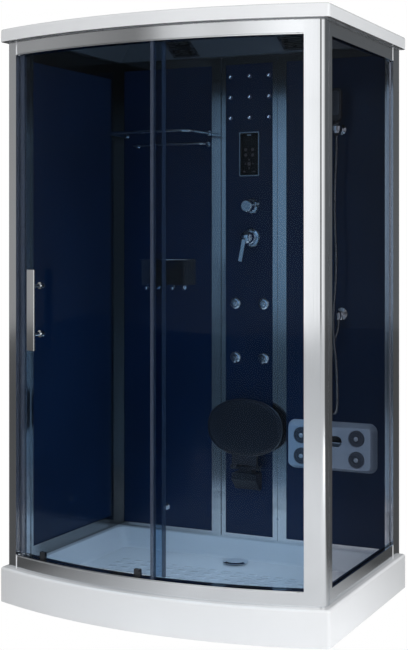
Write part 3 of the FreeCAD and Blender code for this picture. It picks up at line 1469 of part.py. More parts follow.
def make_roof():
    """Moulded roof: a deep fascia over the frame, and a hipped dome with two vents."""
    body = new_body("roof")
    corners, bulges = cabin_plan(0, 0, 0)
    pad(body, outline(body, "XY_Plane", corners, bulges, FASCIA_BOTTOM), s.fascia_height)
    round_edges(body, s.tray_corner, is_upright)
    top = s.fascia_top.number
    round_edges(body, 8, is_level_at(top))
    corners, bulges = cabin_plan(s.fascia_skin, s.fascia_skin, s.fascia_skin)
    hollow = outline(body, "XY_Plane", corners, bulges, FASCIA_BOTTOM - 1)
    pocket(body, hollow, s.frame_top - FASCIA_BOTTOM + 1, along=True)
    corners, bulges = cabin_plan(s.roof_rim, s.roof_rim, s.roof_rim)
    pan = outline(body, "XY_Plane", corners, bulges, s.fascia_top + 1)
    pocket(body, pan, s.fascia_top + 1 - s.frame_top - s.roof_skin)
    spread = s.dome_run / s.dome_rise
    grow = s.roof_skin * root(1 + spread * spread)
    lofts = (
        ("PartDesign::AdditiveLoft", s.frame_top, -grow, s.frame_top + s.dome_rise + s.roof_skin,
         s.dome_run + s.roof_skin * spread - grow),
        ("PartDesign::SubtractiveLoft", s.frame_top - spread, -spread * spread, s.frame_top + s.dome_rise,
         s.dome_run),
    )
    for kind, low, low_inset, high, high_inset in lofts:
        rings = [
            outline(body, "XY_Plane", dome_plan(inset), level=level)
            for level, inset in ((low, low_inset), (high, high_inset))]
        loft = body.newObject(kind, "dome")
        loft.Profile = rings[0]
        loft.Sections = [rings[1]]
        loft.Ruled = True
    vents = []
    half = s.grille_collar / 2 + 0.5
    for name, x in (("left", -s.grille_left), ("right", s.grille_right)):
        vent = new_body(f"{name}_vent")
        pad(vent, outline(vent, "XY_Plane", rectangle(-half, -half, half, half), level=-10), 30)
        vents.append(on_slope(vent, x))
    node("roof_panel", cut("vented_roof", body, *vents))


def make_ceiling_grilles():
    """Two square louvred grilles, and the fan behind the right one."""
    grilles = []
    half = s.grille_size / 2
    collar = s.grille_collar / 2
    for name, x in (("left", -s.grille_left), ("right", s.grille_right)):
        body = new_body(f"{name}_grille")
        corners, bulges = rounded(-half, -half, half, half, as_size(5))
        pad(body, outline(body, "XY_Plane", corners, bulges, -5), 5)
        pad(body, outline(body, "XY_Plane", rectangle(-collar, -collar, collar, collar)), s.roof_skin + 6)
        inner = collar - 3
        for low, high in ((-inner, -4), (4, inner)):
            window = outline(body, "XY_Plane", rectangle(-inner, low, inner, high), level=-6)
            pocket(body, window, s.roof_skin + 20, along=True)
        for row in range(8):
            y = (row - 3.5) * (inner / 4.2)
            blade = [(y - 4, -4.5), (y - 2.5, -4.5), (y + 4, 3), (y + 2.5, 3)]
            pad(body, outline(body, "YZ_Plane", blade, level=-inner - 1), 2 * inner + 2)
        grilles.append(on_slope(body, x))
    node("ceiling_grilles", group("grille_pair", *grilles))

    housing = new_body("fan_case")
    outer = s.grille_size / 2 - 2
    deep = s.fan_depth
    start = s.roof_skin
    pad(housing, outline(housing, "XY_Plane", rectangle(-outer, -outer, outer, outer), level=start), deep)
    hollow = outline(housing, "XY_Plane", rectangle(4 - outer, 4 - outer, outer - 4, outer - 4), level=start - 1)
    pocket(housing, hollow, deep - 3, along=True)
    axle_top = start + deep - 3
    pad(housing, circles(housing, "XY_Plane", [(0, 0)], 12, axle_top - 6), 7)
    pad(housing, circles(housing, "XY_Plane", [(0, 0)], 3, axle_top - 18), 14)
    pocket(housing, circles(housing, "XY_Plane", [(i * 40, j * 40) for i in (-1, 1) for j in (-1, 1)], 6,
                            start + deep + 1), 6)
    node("fan_housing", on_slope(housing, s.grille_right))

    rotor = new_body("rotor")
    low = s.roof_skin + s.fan_depth - 22
    hub = [(3.05, low), (13, low), (13, low + 12), (3.05, low + 12)]
    revolve(rotor, outline(rotor, "XZ_Plane", hub))
    blade = outline(rotor, "XY_Plane", rectangle(11, -1.2, s.fan_radius, 1.2), level=low + 1)
    first = pad(rotor, blade, 10)
    ring = rotor.newObject("PartDesign::PolarPattern", "blade_ring")
    ring.Originals = [first]
    ring.Axis = (blade, ["N_Axis"])
    ring.Angle = 360
    ring.Occurrences = 7
    rotor.Tip = ring
    node("fan_rotor", on_slope(rotor, s.grille_right))


def main():
    make_tray()
    make_support()
    make_drain()
    make_front_rails()
    make_posts()
    make_side()
    make_fixed_front()
    make_door_glass()
    make_door_seals()
    make_handle()
    make_hangers()
    make_wheel("upper_wheel_left", HANGER_ANGLES[0])
    make_wheel("upper_wheel_right", HANGER_ANGLES[1])
    make_guides()
    make_walls()
    make_lights()
    make_keypad()
    make_valves()
    make_jets()
    make_steam_outlet()
    make_seat()
    make_massager()
    make_rails()
    make_basket()
    make_handset()
    make_hose()
    make_roof()
    make_ceiling_grilles()


main()
doc.recompute()
broken = [thing.Label for thing in doc.Objects if "Invalid" in thing.State or "Error" in thing.State]
broken += [label for label, thing in NODES.items() if thing.Shape.isNull() or not thing.Shape.isValid()]
if broken:
    raise RuntimeError(f"features that did not build: {broken}")
os.makedirs("parts", exist_ok=True)
for label, thing in NODES.items():
    thing.Shape.exportStep(f"parts/{label}.step")
print(f"{len(NODES)} nodes, {sum(len(thing.Shape.Solids) for thing in NODES.values())} solids")
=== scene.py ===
import math

import bmesh
import bpy
from mathutils import Matrix, Vector


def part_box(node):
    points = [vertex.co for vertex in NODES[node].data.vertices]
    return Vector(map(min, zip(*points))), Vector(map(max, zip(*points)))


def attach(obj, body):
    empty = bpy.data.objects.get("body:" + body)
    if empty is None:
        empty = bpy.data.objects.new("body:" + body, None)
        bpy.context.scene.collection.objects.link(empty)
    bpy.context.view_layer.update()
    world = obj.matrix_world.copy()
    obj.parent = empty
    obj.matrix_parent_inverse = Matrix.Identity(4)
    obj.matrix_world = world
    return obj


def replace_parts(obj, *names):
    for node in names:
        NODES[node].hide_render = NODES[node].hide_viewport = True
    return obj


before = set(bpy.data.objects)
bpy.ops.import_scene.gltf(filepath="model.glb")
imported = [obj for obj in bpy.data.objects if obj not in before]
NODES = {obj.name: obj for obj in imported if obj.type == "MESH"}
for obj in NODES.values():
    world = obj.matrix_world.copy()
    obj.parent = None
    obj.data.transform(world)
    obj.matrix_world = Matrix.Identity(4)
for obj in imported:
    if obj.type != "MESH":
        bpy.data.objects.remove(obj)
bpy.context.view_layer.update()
scene = bpy.context.scene
scene.view_settings.view_transform = "Standard"

# ---------------------------------------------------------------- camera

CAMERA_PLACE = (2.1487, -4.4051, 1.3709)
CAMERA_TURN = 0.4512
CAMERA_LENS = 71.55
SENSOR = 36.0
HORIZON_SHIFT = -0.1355


def make_camera():
    data = bpy.data.cameras.new("camera")
    data.sensor_width = SENSOR
    data.lens = CAMERA_LENS
    data.shift_y = HORIZON_SHIFT
    camera = bpy.data.objects.new("camera", data)
    camera.location = CAMERA_PLACE
    camera.rotation_euler = (math.pi / 2, 0, CAMERA_TURN)
    scene.collection.objects.link(camera)
    scene.camera = camera


make_camera()

# ---------------------------------------------------------------- materials


# The sockets of a colour mix.
MIX_FACTOR, MIX_FIRST, MIX_SECOND, MIX_RESULT = 0, 6, 7, 2


class Recipe:
    """One procedural material: a principled surface and the textures that drive it."""

    def __init__(self, name, base, roughness, metallic=0.0, **more):
        self.material = bpy.data.materials.new(name)
        self.material.use_nodes = True
        self.tree = self.material.node_tree
        self.surface = self.tree.nodes["Principled BSDF"]
        self.output = self.tree.nodes["Material Output"]
        self.place = self.add("ShaderNodeTexCoord").outputs["Object"]
        self.base = base
        self.set(self.surface, **{"Base Color": (*base, 1), "Roughness": roughness, "Metallic": metallic})
        self.set(self.surface, **{key.replace("_", " "): value for key, value in more.items()})

    def add(self, kind, **settings):
        """Adds a shader node of this kind."""
        made = self.tree.nodes.new(kind)
        for key, value in settings.items():
            setattr(made, key, value)
        return made

    def set(self, made, **values):
        """Sets a node's inputs by name."""
        for key, value in values.items():
            made.inputs[key].default_value = value

    def link(self, source, target):
        self.tree.links.new(source, target)

    def noise(self, scale, detail=3.0, stretch=(1, 1, 1)):
        """Noise of this many features a metre; stretch makes it finer along an axis."""
        mapping = self.add("ShaderNodeMapping")
        self.set(mapping, Scale=stretch)
        texture = self.add("ShaderNodeTexNoise")
        self.set(texture, Scale=scale, Detail=detail)
        self.link(self.place, mapping.inputs["Vector"])
        self.link(mapping.outputs["Vector"], texture.inputs["Vector"])
        return texture.outputs["Fac"]

    def spread(self, value, low, high, start=0.3, end=0.7):
        """Maps a texture's usual span to the span low to high."""
        made = self.add("ShaderNodeMapRange")
        self.set(made, **{"From Min": start, "From Max": end, "To Min": low, "To Max": high})
        self.link(value, made.inputs["Value"])
        return made.outputs["Result"]

    def combine(self, operation, first, second):
        """One value from two, by this operation."""
        made = self.add("ShaderNodeMath", operation=operation)
        self.link(first, made.inputs[0])
        self.link(second, made.inputs[1])
        return made.outputs["Value"]

    def grey(self, value):
        """The grey of this value."""
        made = self.add("ShaderNodeCombineColor")
        for channel in ("Red", "Green", "Blue"):
            self.link(value, made.inputs[channel])
        return made.outputs["Color"]

    def roughness(self, value, low, high):
        """Lets a texture vary the roughness from low to high."""
        self.link(self.spread(value, low, high), self.surface.inputs["Roughness"])
        return self

    def colour(self, value, change):
        """Varies the base colour by a share of itself."""
        made = self.add("ShaderNodeMix", data_type="RGBA")
        darker = [channel * (1 - change) for channel in self.base]
        lighter = [min(1.0, channel * (1 + change)) for channel in self.base]
        made.inputs[MIX_FIRST].default_value = (*darker, 1)
        made.inputs[MIX_SECOND].default_value = (*lighter, 1)
        self.link(self.spread(value, 0, 1), made.inputs[MIX_FACTOR])
        self.link(made.outputs[MIX_RESULT], self.surface.inputs["Base Color"])
        return self

    def bump(self, value, depth, strength=1.0):
        """Relief of this depth in metres."""
        made = self.add("ShaderNodeBump")
        self.set(made, Strength=strength, Distance=depth)
        self.link(value, made.inputs["Height"])
        self.link(made.outputs["Normal"], self.surface.inputs["Normal"])
        return self


def white_acrylic(name, underside=1.0):
    """Vacuum-formed sheet: high gloss with a slow ripple; faces that look down can be darkened with painted
    shade.
    """
    made = Recipe(name, (0.86, 0.87, 0.885), 0.12, Coat_Weight=0.35, Coat_Roughness=0.05)
    made.roughness(made.noise(9, 5), 0.09, 0.2)
    made.colour(made.noise(2.2, 2), 0.012)
    # Painted shade: faces that look down are darkened, towards the given share of their colour.
    if underside < 1:
        facing = made.add("ShaderNodeNewGeometry")
        split = made.add("ShaderNodeSeparateXYZ")
        painted_shade_mix = made.add("ShaderNodeMix", data_type="RGBA", blend_type="MULTIPLY")
        painted_shade_mix.inputs[MIX_FACTOR].default_value = 1.0
        share = made.spread(split.outputs["Z"], underside, 1.0, -0.75, -0.3)
        made.link(facing.outputs["Normal"], split.inputs["Vector"])
        made.link(made.surface.inputs["Base Color"].links[0].from_socket, painted_shade_mix.inputs[MIX_FIRST])
        made.link(made.grey(share), painted_shade_mix.inputs[MIX_SECOND])
        made.link(painted_shade_mix.outputs[MIX_RESULT], made.surface.inputs["Base Color"])
    return made.bump(made.noise(14, 2), 0.0006, 0.35).material


# Drawing lines a metre on a drawn profile, and how often they change along it.
LINES_ACROSS, LINES_ALONG = 520.0, 3.0


def polished_profile(name, along):
    """Polished aluminium with its drawing lines along the profile."""
    lines = [LINES_ACROSS] * 3
    lines["XYZ".index(along)] = LINES_ALONG
    made = Recipe(name, (0.80, 0.82, 0.845), 0.1, metallic=1.0)
    made.roughness(made.noise(1, 4, lines), 0.06, 0.16)
    made.colour(made.noise(4, 3), 0.03)
    return made.bump(made.noise(1, 3, lines), 0.00008, 0.5).material


def wall_profile():
    """The wall's polished profiles, with painted shade that darkens them towards the far corner and the
    ceiling.

    Each mask goes from its first tone to its second between two places, in metres.
    """
    made = Recipe("wall_profile", (0.78, 0.81, 0.85), 0.14, metallic=1.0)
    lines = made.noise(1, 3, (LINES_ACROSS, LINES_ACROSS, LINES_ALONG))
    made.roughness(lines, 0.08, 0.2)
    split = made.add("ShaderNodeSeparateXYZ")
    made.link(made.place, split.inputs["Vector"])
    # Painted shade: darker towards the far left corner, lighter near the door, and darker again up towards
    # the ceiling.
    along_x = made.spread(split.outputs["X"], 0.3, 0.95, -0.58, -0.08)
    by_the_door = made.spread(split.outputs["Y"], 0.8, 0.0, -0.27, -0.1)
    upwards = made.spread(split.outputs["Z"], 1.0, 0.3, 1.75, 2.06)
    # The faces outside the cabin, on the left and at the rear, are kept clear of the painted shade.
    left_outside = made.spread(split.outputs["X"], 0.95, 0.0, -0.626, -0.612)
    rear_outside = made.spread(split.outputs["Y"], 0.0, 0.95, 0.450, 0.460)
    share = made.combine("MAXIMUM", along_x, by_the_door)
    share = made.combine("MULTIPLY", share, upwards)
    share = made.combine("MAXIMUM", share, left_outside)
    share = made.combine("MAXIMUM", share, rear_outside)
    made.link(made.grey(share), made.surface.inputs["Base Color"])
    return made.bump(lines, 0.00008, 0.4).material


def chrome(name, tone=1.0):
    """Bright chrome with faint water marks; a lower tone gives darker chrome."""
    made = Recipe(name, (0.74 * tone, 0.76 * tone, 0.79 * tone), 0.05, metallic=1.0)
    made.roughness(made.noise(60, 6), 0.02, 0.1)
    return made.colour(made.noise(25, 3), 0.02).material


MIRROR_STEEPNESS = 4.0


def tinted_glass(name, tint, least, most):
    """Body-tinted toughened glass with faint lime haze; its mirror share goes from least to most aslant."""
    made = Recipe(name, (0.02, 0.03, 0.04), 0.02)
    through = made.add("ShaderNodeBsdfTransparent")
    made.set(through, Color=(*tint, 1))
    shine = made.add("ShaderNodeBsdfGlossy")
    made.set(shine, Color=(0.9, 0.95, 1, 1))
    made.link(made.spread(made.noise(6, 6, (1, 1, 0.4)), 0.0, 0.035), shine.inputs["Roughness"])
    aslant = made.add("ShaderNodeLayerWeight")
    made.set(aslant, Blend=0.5)
    steep = made.add("ShaderNodeMath", operation="POWER")
    steep.inputs[1].default_value = MIRROR_STEEPNESS
    made.link(aslant.outputs["Facing"], steep.inputs[0])
    mixed = made.add("ShaderNodeMixShader")
    made.link(made.spread(steep.outputs["Value"], least, most, 0, 1), mixed.inputs["Fac"])
    made.link(through.outputs["BSDF"], mixed.inputs[1])
    made.link(shine.outputs["BSDF"], mixed.inputs[2])
    made.tree.nodes.remove(made.surface)
    made.link(mixed.outputs["Shader"], made.output.inputs["Surface"])
    return made.material


def dark_panel():
    """Back-painted dark blue panel behind a glossy face, with a slow unevenness in the reflection."""
    made = Recipe("dark_panel", (0.009, 0.027, 0.072), 0.1, IOR=1.3)
    made.roughness(made.noise(5, 4), 0.06, 0.16)
    made.colour(made.noise(1.6, 3), 0.18)
    return made.bump(made.noise(3, 2), 0.0006, 0.1).material


def seal_strip():
    """Translucent vinyl, extruded upright, a little cloudy."""
    made = Recipe("seal", (0.06, 0.08, 0.125), 0.3, Alpha=0.6, Specular_IOR_Level=0.35)
    made.roughness(made.noise(1, 3, (300, 300, 6)), 0.22, 0.45)
    return made.colour(made.noise(1, 4, (180, 180, 9)), 0.18).material


def moulded(name, base, roughness, grain=900, depth=0.00006, change=0.05, **more):
    """Injection-moulded plastic with a spark-eroded grain."""
    made = Recipe(name, base, roughness, **more)
    made.roughness(made.noise(30, 4), roughness * 0.8, roughness * 1.25)
    made.colour(made.noise(7, 3), change)
    return made.bump(made.noise(grain, 2), depth, 0.6).material


def steel():
    """Galvanised tube with its spangle."""
    made = Recipe("steel", (0.55, 0.57, 0.6), 0.4, metallic=0.9)
    cells = made.add("ShaderNodeTexVoronoi")
    made.set(cells, Scale=110.0)
    made.link(made.place, cells.inputs["Vector"])
    made.roughness(cells.outputs["Distance"], 0.3, 0.5)
    return made.colour(cells.outputs["Distance"], 0.12).material


def brass():
    """Sand-cast brass."""
    made = Recipe("brass", (0.62, 0.45, 0.2), 0.35, metallic=1.0)
    made.roughness(made.noise(80, 5), 0.28, 0.5)
    made.colour(made.noise(20, 4), 0.1)
    return made.bump(made.noise(700, 3), 0.00015, 0.8).material


def light_lens():
    """Clear smoked lens with faint painted glints: a speckle of weak emission."""
    made = Recipe("light_lens", (0.05, 0.055, 0.10), 0.12, Emission_Color=(0.45, 0.42, 1, 1))
    # Painted glints: weak speckled emission stands in for sparkle on the lens.
    made.link(made.spread(made.noise(500, 2), 0.01, 0.06), made.surface.inputs["Emission Strength"])
    made.roughness(made.noise(400, 2), 0.08, 0.2)
    return made.colour(made.noise(200, 2), 0.08).material


def painted_glint():
    """Painted glints on a light's lens: small glowing facets, brighter and fainter, in place of reflected
    highlights.
    """
    made = Recipe("painted_glint", (0.9, 0.92, 1), 0.2, Emission_Color=(0.82, 0.86, 1, 1))
    # Painted glints: strong emission on the facets.
    made.link(made.spread(made.noise(700, 2), 1.6, 5.0), made.surface.inputs["Emission Strength"])
    return made.colour(made.noise(300, 2), 0.1).material


def clear_plastic():
    """Clear acrylic: see-through, brighter where it is seen edge-on."""
    made = Recipe("clear_plastic", (0.72, 0.8, 0.88), 0.12)
    through = made.add("ShaderNodeBsdfTransparent")
    made.set(through, Color=(0.93, 0.95, 0.97, 1))
    edge = made.add("ShaderNodeLayerWeight")
    made.set(edge, Blend=0.28)
    mixed = made.add("ShaderNodeMixShader")
    made.link(made.spread(edge.outputs["Facing"], 0.002, 0.1, 0, 1), mixed.inputs["Fac"])
    made.link(through.outputs["BSDF"], mixed.inputs[1])
    made.roughness(made.noise(40, 5), 0.08, 0.2)
    made.link(made.surface.outputs["BSDF"], mixed.inputs[2])
    made.link(mixed.outputs["Shader"], made.output.inputs["Surface"])
    return made.material


def floor_paint():
    """Pale floor that runs into the white behind the object; the light falls on its right front part."""
    made = Recipe("floor_paint", (0.62, 0.62, 0.63), 0.7)
    split = made.add("ShaderNodeSeparateXYZ")
    made.link(made.place, split.inputs["Vector"])
    across = made.spread(split.outputs["X"], 0.10, 0.95, -1.1, 0.0)
    back = made.spread(split.outputs["Y"], 1.0, 0.1, -0.2, 0.8)
    lit = made.combine("MULTIPLY", across, back)
    lit = made.combine("MULTIPLY", lit, made.spread(made.noise(3, 3), 0.92, 1.0))
    made.link(made.grey(lit), made.surface.inputs["Base Color"])
    pale = made.add("ShaderNodeEmission")
    path = made.add("ShaderNodeLightPath")
    mixed = made.add("ShaderNodeMixShader")
    made.link(path.outputs["Is Camera Ray"], mixed.inputs["Fac"])
    made.link(made.surface.outputs["BSDF"], mixed.inputs[1])
    made.link(pale.outputs["Emission"], mixed.inputs[2])
    made.link(mixed.outputs["Shader"], made.output.inputs["Surface"])
    return made.material


UPRIGHT = polished_profile("frame_upright", "Z")
FRONT_RAIL = polished_profile("frame_front", "X")
WALL_PROFILE = wall_profile()
HANDLE = polished_profile("handle_bar", "Z")
SIDE_RAIL = polished_profile("frame_side", "Y")
CHROME = chrome("chrome")
# Chrome at a lower tone, darker all over.
DARK_CHROME = chrome("dark_chrome", 0.35)
ACRYLIC = white_acrylic("white_acrylic")
# The roof's downward faces, the cabin's ceiling, get painted shade.
ROOF_ACRYLIC = white_acrylic("roof_acrylic", 0.22)
PANEL = dark_panel()
SEAL = seal_strip()
STEEL = steel()
LENS = light_lens()
PAINTED_GLINT = painted_glint()
CLEAR = clear_plastic()
FRONT_GLASS = tinted_glass("front_glass", (0.62, 0.72, 0.81), 0.004, 0.4)
SIDE_GLASS = tinted_glass("side_glass", (0.67, 0.68, 0.71), 0.006, 0.12)
SEAT = moulded("seat_plastic", (0.016, 0.019, 0.028), 0.36, 900, 0.00003, Specular_IOR_Level=0.35)
HOUSING = moulded("massager_plastic", (0.45, 0.53, 0.63), 0.38, 900, 0.00008)
DISC = moulded("massager_disc", (0.085, 0.1, 0.13), 0.34, 900)
HUB = moulded("disc_hub", (0.5, 0.55, 0.62), 0.3, 900)
GLOSS_BLACK = moulded("gloss_black", (0.02, 0.021, 0.025), 0.08, 300, 0.00001)
BLACK = moulded("black_plastic", (0.025, 0.028, 0.034), 0.28, 800)
DARK = moulded("dark_plastic", (0.06, 0.065, 0.075), 0.45, 500)
NYLON = moulded("nylon", (0.74, 0.75, 0.74), 0.42, 600)
GRILLE = moulded("spray_plastic", (0.10, 0.11, 0.13), 0.4, 600)
KEY_FRAME = chrome("keypad_frame", 0.5)
JOINT = moulded("joint_strip", (0.9, 0.91, 0.93), 0.35, 500, 0.00002)
KEY_FACE = moulded("keypad_face", (0.004, 0.005, 0.007), 0.2, 500, 0.00002, Specular_IOR_Level=0.12)
SCREEN = moulded("keypad_screen", (0.012, 0.014, 0.016), 0.15, 400, 0.00001, Specular_IOR_Level=0.15)
ICON = moulded("keypad_icon", (0.13, 0.075, 0.07), 0.4, 400, 0.00001)
MARK = moulded("keypad_mark", (0.5, 0.54, 0.6), 0.4, 400, 0.00001)

FINISHES = {
    ACRYLIC: ("shower_tray",),
    ROOF_ACRYLIC: ("roof_panel",),
    UPRIGHT: ("left_front_post", "right_front_post", "rear_right_post"),
    WALL_PROFILE: ("left_wall_frame", "column_frame", "back_wall_frames"),
    FRONT_RAIL: ("front_bottom_rail", "front_top_rail"),
    SIDE_RAIL: ("side_rails",),
    FRONT_GLASS: ("fixed_front_glass", "door_glass"),
    SIDE_GLASS: ("side_glass",),
    PANEL: ("left_wall_panel", "column_panel", "back_wall_panels"),
    SEAL: ("fixed_seals", "door_seals"),
    CHROME: ("drain_cover", "door_hangers", "valve_rosettes", "mixer_cap", "mixer_lever",
             "diverter_knob", "jet_bases", "jet_nozzle_1", "jet_nozzle_2", "jet_nozzle_3", "jet_nozzle_4",
             "steam_outlet", "seat_pin", "towel_rails", "shelf_brackets", "handset_holder",
             "hose_outlet"),
    HANDLE: ("door_handle",),
    STEEL: ("tray_support_frame", "adjustable_feet"),
    brass(): ("valve_body",),
    LENS: ("led_lights",),
    KEY_FRAME: ("control_panel",),
    SEAT: ("seat_board", "seat_bracket"),
    HOUSING: ("massager_housing",),
    DISC: ("massage_disc_1", "massage_disc_2", "massage_disc_3", "massage_disc_4"),
    CLEAR: ("shelf_basket",),
    GLOSS_BLACK: ("handset",),
    BLACK: ("door_guides", "ceiling_grilles"),
    DARK: ("fan_housing", "fan_rotor", "drain_trap"),
    NYLON: ("upper_wheel_left", "upper_wheel_right"),
}


def finish_nodes():
    for material, names in FINISHES.items():
        for name in names:
            slots = NODES[name].material_slots
            if len(slots) == 0:
                NODES[name].data.materials.append(material)
            for slot in slots:
                slot.material = material


finish_nodes()

# ---------------------------------------------------------------- mesh helpers


def piece(name, mesh, material, body):
    """Adds a mesh as a smooth piece that rides on a body, with the given material in its slot."""
    data = bpy.data.meshes.new(name)
    bmesh.ops.recalc_face_normals(mesh, faces=mesh.faces)
    mesh.to_mesh(data)
    mesh.free()
    data.materials.append(material)
    data.polygons.foreach_set("use_smooth", [True] * len(data.polygons))
    made = bpy.data.objects.new(name, data)
    scene.collection.objects.link(made)
    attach(made, body)
    return made


def ring_points(count):
    """Points evenly spaced on a circle of radius one."""
    return [(math.cos(2 * math.pi * i / count), math.sin(2 * math.pi * i / count)) for i in range(count)]


def add_rings(mesh, rings, closed=False):
    """Skins rings of points, each as long as the next, and caps the ends unless closed."""
    made = [[mesh.verts.new(point) for point in ring] for ring in rings]
    pairs = list(zip(made, made[1:])) + ([(made[-1], made[0])] if closed else [])
    for low, high in pairs:
        for i in range(len(low)):
            j = (i + 1) % len(low)
            mesh.faces.new((low[i], low[j], high[j], high[i]))
    if not closed:
        mesh.faces.new(list(reversed(made[0])))
        mesh.faces.new(made[-1])


def add_turned(mesh, profile, place, axis=(0, -1, 0), sides=28):
    """Adds a solid of revolution; profile is (radius, height) and height runs along axis."""
    turn = Vector((0, 0, 1)).rotation_difference(Vector(axis)).to_matrix()
    place = Vector(place)
    circle = ring_points(sides)
    add_rings(mesh, [[place + turn @ Vector((r * x, r * y, h)) for x, y in circle] for r, h in profile])


def rounded_loop(width, height, radius, steps=5):
    """Corner-rounded rectangle about the origin, anticlockwise."""
    loop = []
    for k, (sx, sy) in enumerate(((1, 1), (-1, 1), (-1, -1), (1, -1))):
        for i in range(steps + 1):
            angle = math.pi / 2 * (k + i / steps)
            loop.append((sx * (width / 2 - radius) + radius * math.cos(angle),
                         sy * (height / 2 - radius) + radius * math.sin(angle)))
    return loop


def add_plate(mesh, centre, width, height, radius, thickness, edge, across=(1, 0, 0), up=(0, 0, 1)):
    """Adds a rounded plate with an eased front edge, standing out along up x across."""
    across, up, centre = Vector(across), Vector(up), Vector(centre)
    out = across.cross(up)
    levels = ((0.0, 0.0), (0.0, thickness - edge), (0.3 * edge, thickness - 0.3 * edge), (edge, thickness))
    rings = []
    for inset, level in levels:
        loop = rounded_loop(width - 2 * inset, height - 2 * inset, max(radius - inset, 1e-5))
        rings.append([centre + across * x + up * y + out * level for x, y in loop])
    add_rings(mesh, rings)


# ---------------------------------------------------------------- shower hose

HOSE_DIAMETER = 0.013
HOLDER_ACROSS = 0.404
HOSE_START = Vector((HOLDER_ACROSS, 0.3885, 1.768))
HOSE_END = Vector((HOLDER_ACROSS, 0.4105, 1.046))
# Corners of the hose's centre line after its start: across, towards the room, up.
HOSE_DRIFT = (
    (0.000, 0.000, -0.078),
    (-0.007, 0.000, -0.188),
    (-0.008, 0.000, -0.328),
    (0.000, 0.002, -0.468),
    (-0.002, 0.005, -0.588),
    (-0.011, 0.011, -0.698),
    (-0.006, 0.017, -0.798),
    (0.009, 0.025, -0.898),
    (0.013, 0.028, -0.993),
    (0.014, 0.028, -1.064),
    (-0.002, 0.008, -1.090),
    (-0.025, -0.021, -1.090),
    (-0.042, -0.041, -1.064),
    (-0.043, -0.042, -1.003),
    (-0.039, -0.040, -0.908),
    (-0.027, -0.032, -0.813),
)
RIB_PITCH = 0.0034
RIB_DEPTH = 0.0007
STEPS_A_RIB = 4
HOSE_SIDES = 12
# How far the hose stays straight below the nut at the wall outlet.
NUT_STRAIGHT = 0.046


def smooth_line(points, name):
    """Points along the smooth line that the given corners control."""
    curve = bpy.data.curves.new(name, "CURVE")
    curve.dimensions = "3D"
    curve.resolution_u = 24
    spline = curve.splines.new("NURBS")
    spline.points.add(len(points) - 1)
    for target, point in zip(spline.points, points):
        target.co = (*point, 1)
    spline.order_u = 3
    spline.use_endpoint_u = True
    holder = bpy.data.objects.new(name, curve)
    mesh = bpy.data.meshes.new_from_object(holder)
    line = [vertex.co.copy() for vertex in mesh.vertices]
    bpy.data.objects.remove(holder)
    bpy.data.curves.remove(curve)
    bpy.data.meshes.remove(mesh)
    return line


def even_steps(line, step):
    """The line again, with points about this far apart."""
    total = sum((b - a).length for a, b in zip(line, line[1:]))
    count = round(total / step)
    gap = total / count
    result = [line[0]]
    left = gap
    for a, b in zip(line, line[1:]):
        here = 0.0
        length = (b - a).length
        while length - here >= left - 1e-9 and len(result) < count:
            here += left
            result.append(a.lerp(b, here / length))
            left = gap
        left -= length - here
    result.append(line[-1])
    return result


def make_hose():
    """The ribbed metal hose from the handset, in a hanging loop, up to the wall outlet."""
    corners = [HOSE_START]
    corners += [HOSE_START + Vector((x, -out, up)) for x, out, up in HOSE_DRIFT]
    corners += [HOSE_END - Vector((0, 0, NUT_STRAIGHT)), HOSE_END]
    line = even_steps(smooth_line(corners, "hose_line"), RIB_PITCH / STEPS_A_RIB)
    mesh = bmesh.new()
    circle = ring_points(HOSE_SIDES)
    side = Vector((1, 0, 0))
    rings = []
    for i, point in enumerate(line):
        ahead = line[min(i + 1, len(line) - 1)] - line[max(i - 1, 0)]
        ahead.normalize()
        side = (side - ahead * side.dot(ahead)).normalized()
        other = ahead.cross(side)
        groove = RIB_DEPTH if i % STEPS_A_RIB == 0 else 0.0
        radius = HOSE_DIAMETER / 2 - groove
        rings.append([point + side * (x * radius) + other * (y * radius) for x, y in circle])
    add_rings(mesh, rings)
    hose = piece("hose", mesh, DARK_CHROME, "cabin")
    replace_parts(hose, "shower_hose")


make_hose()

# ---------------------------------------------------------------- tray floor

BASIN_FLOOR = 0.062
GRIP_SIZE = 0.036
GRIP_PITCH = 0.056
GRIP_RISE = 0.0012
GRIP_CORNER, GRIP_EDGE = 0.008, 0.0008
# Room left at the basin's sides, at its front and before the drain.
SIDE_MARGIN, FRONT_MARGIN, DRAIN_MARGIN = 0.06, 0.09, 0.05
# How deep an added piece sits in what carries it.
SUNK = 0.0005


def make_grips():
    """Raised squares that keep feet from slipping, clear of the drain."""
    flat = [v.co for v in NODES["shower_tray"].data.vertices if abs(v.co.z - BASIN_FLOOR) < 1e-4]
    reach = max(point.x for point in flat) - SIDE_MARGIN
    front = min(point.y for point in flat) + FRONT_MARGIN
    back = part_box("drain_cover")[0].y - DRAIN_MARGIN
    columns = int(2 * reach / GRIP_PITCH)
    rows = int((back - front) / GRIP_PITCH)
    mesh = bmesh.new()
    for column in range(columns):
        for row in range(rows):
            x = (column - (columns - 1) / 2) * GRIP_PITCH
            y = front + (row + 0.5) * GRIP_PITCH
            add_plate(mesh, (x, y, BASIN_FLOOR - SUNK), GRIP_SIZE, GRIP_SIZE, GRIP_CORNER,
                      GRIP_RISE + SUNK, GRIP_EDGE, (1, 0, 0), (0, 1, 0))
    piece("floor_grips", mesh, ACRYLIC, "cabin")


make_grips()

# ---------------------------------------------------------------- service column

PANE_FRONT = 0.4505
LENS_RADIUS = 0.008
LIGHT_ROWS = 3
# A bezel's section: distance from the lens's edge and height above the panel.
BEZEL_SECTION = ((0.0002, 0.0), (0.0026, 0.0), (0.0024, 0.0012), (0.0014, 0.002), (0.0002, 0.0012))
# The painted glints on each light: across, up and size.
PAINTED_GLINT_SPOTS = ((0.0024, 0.0022, 0.0014), (-0.0026, -0.0018, 0.0011), (0.0008, -0.0034, 0.0008))


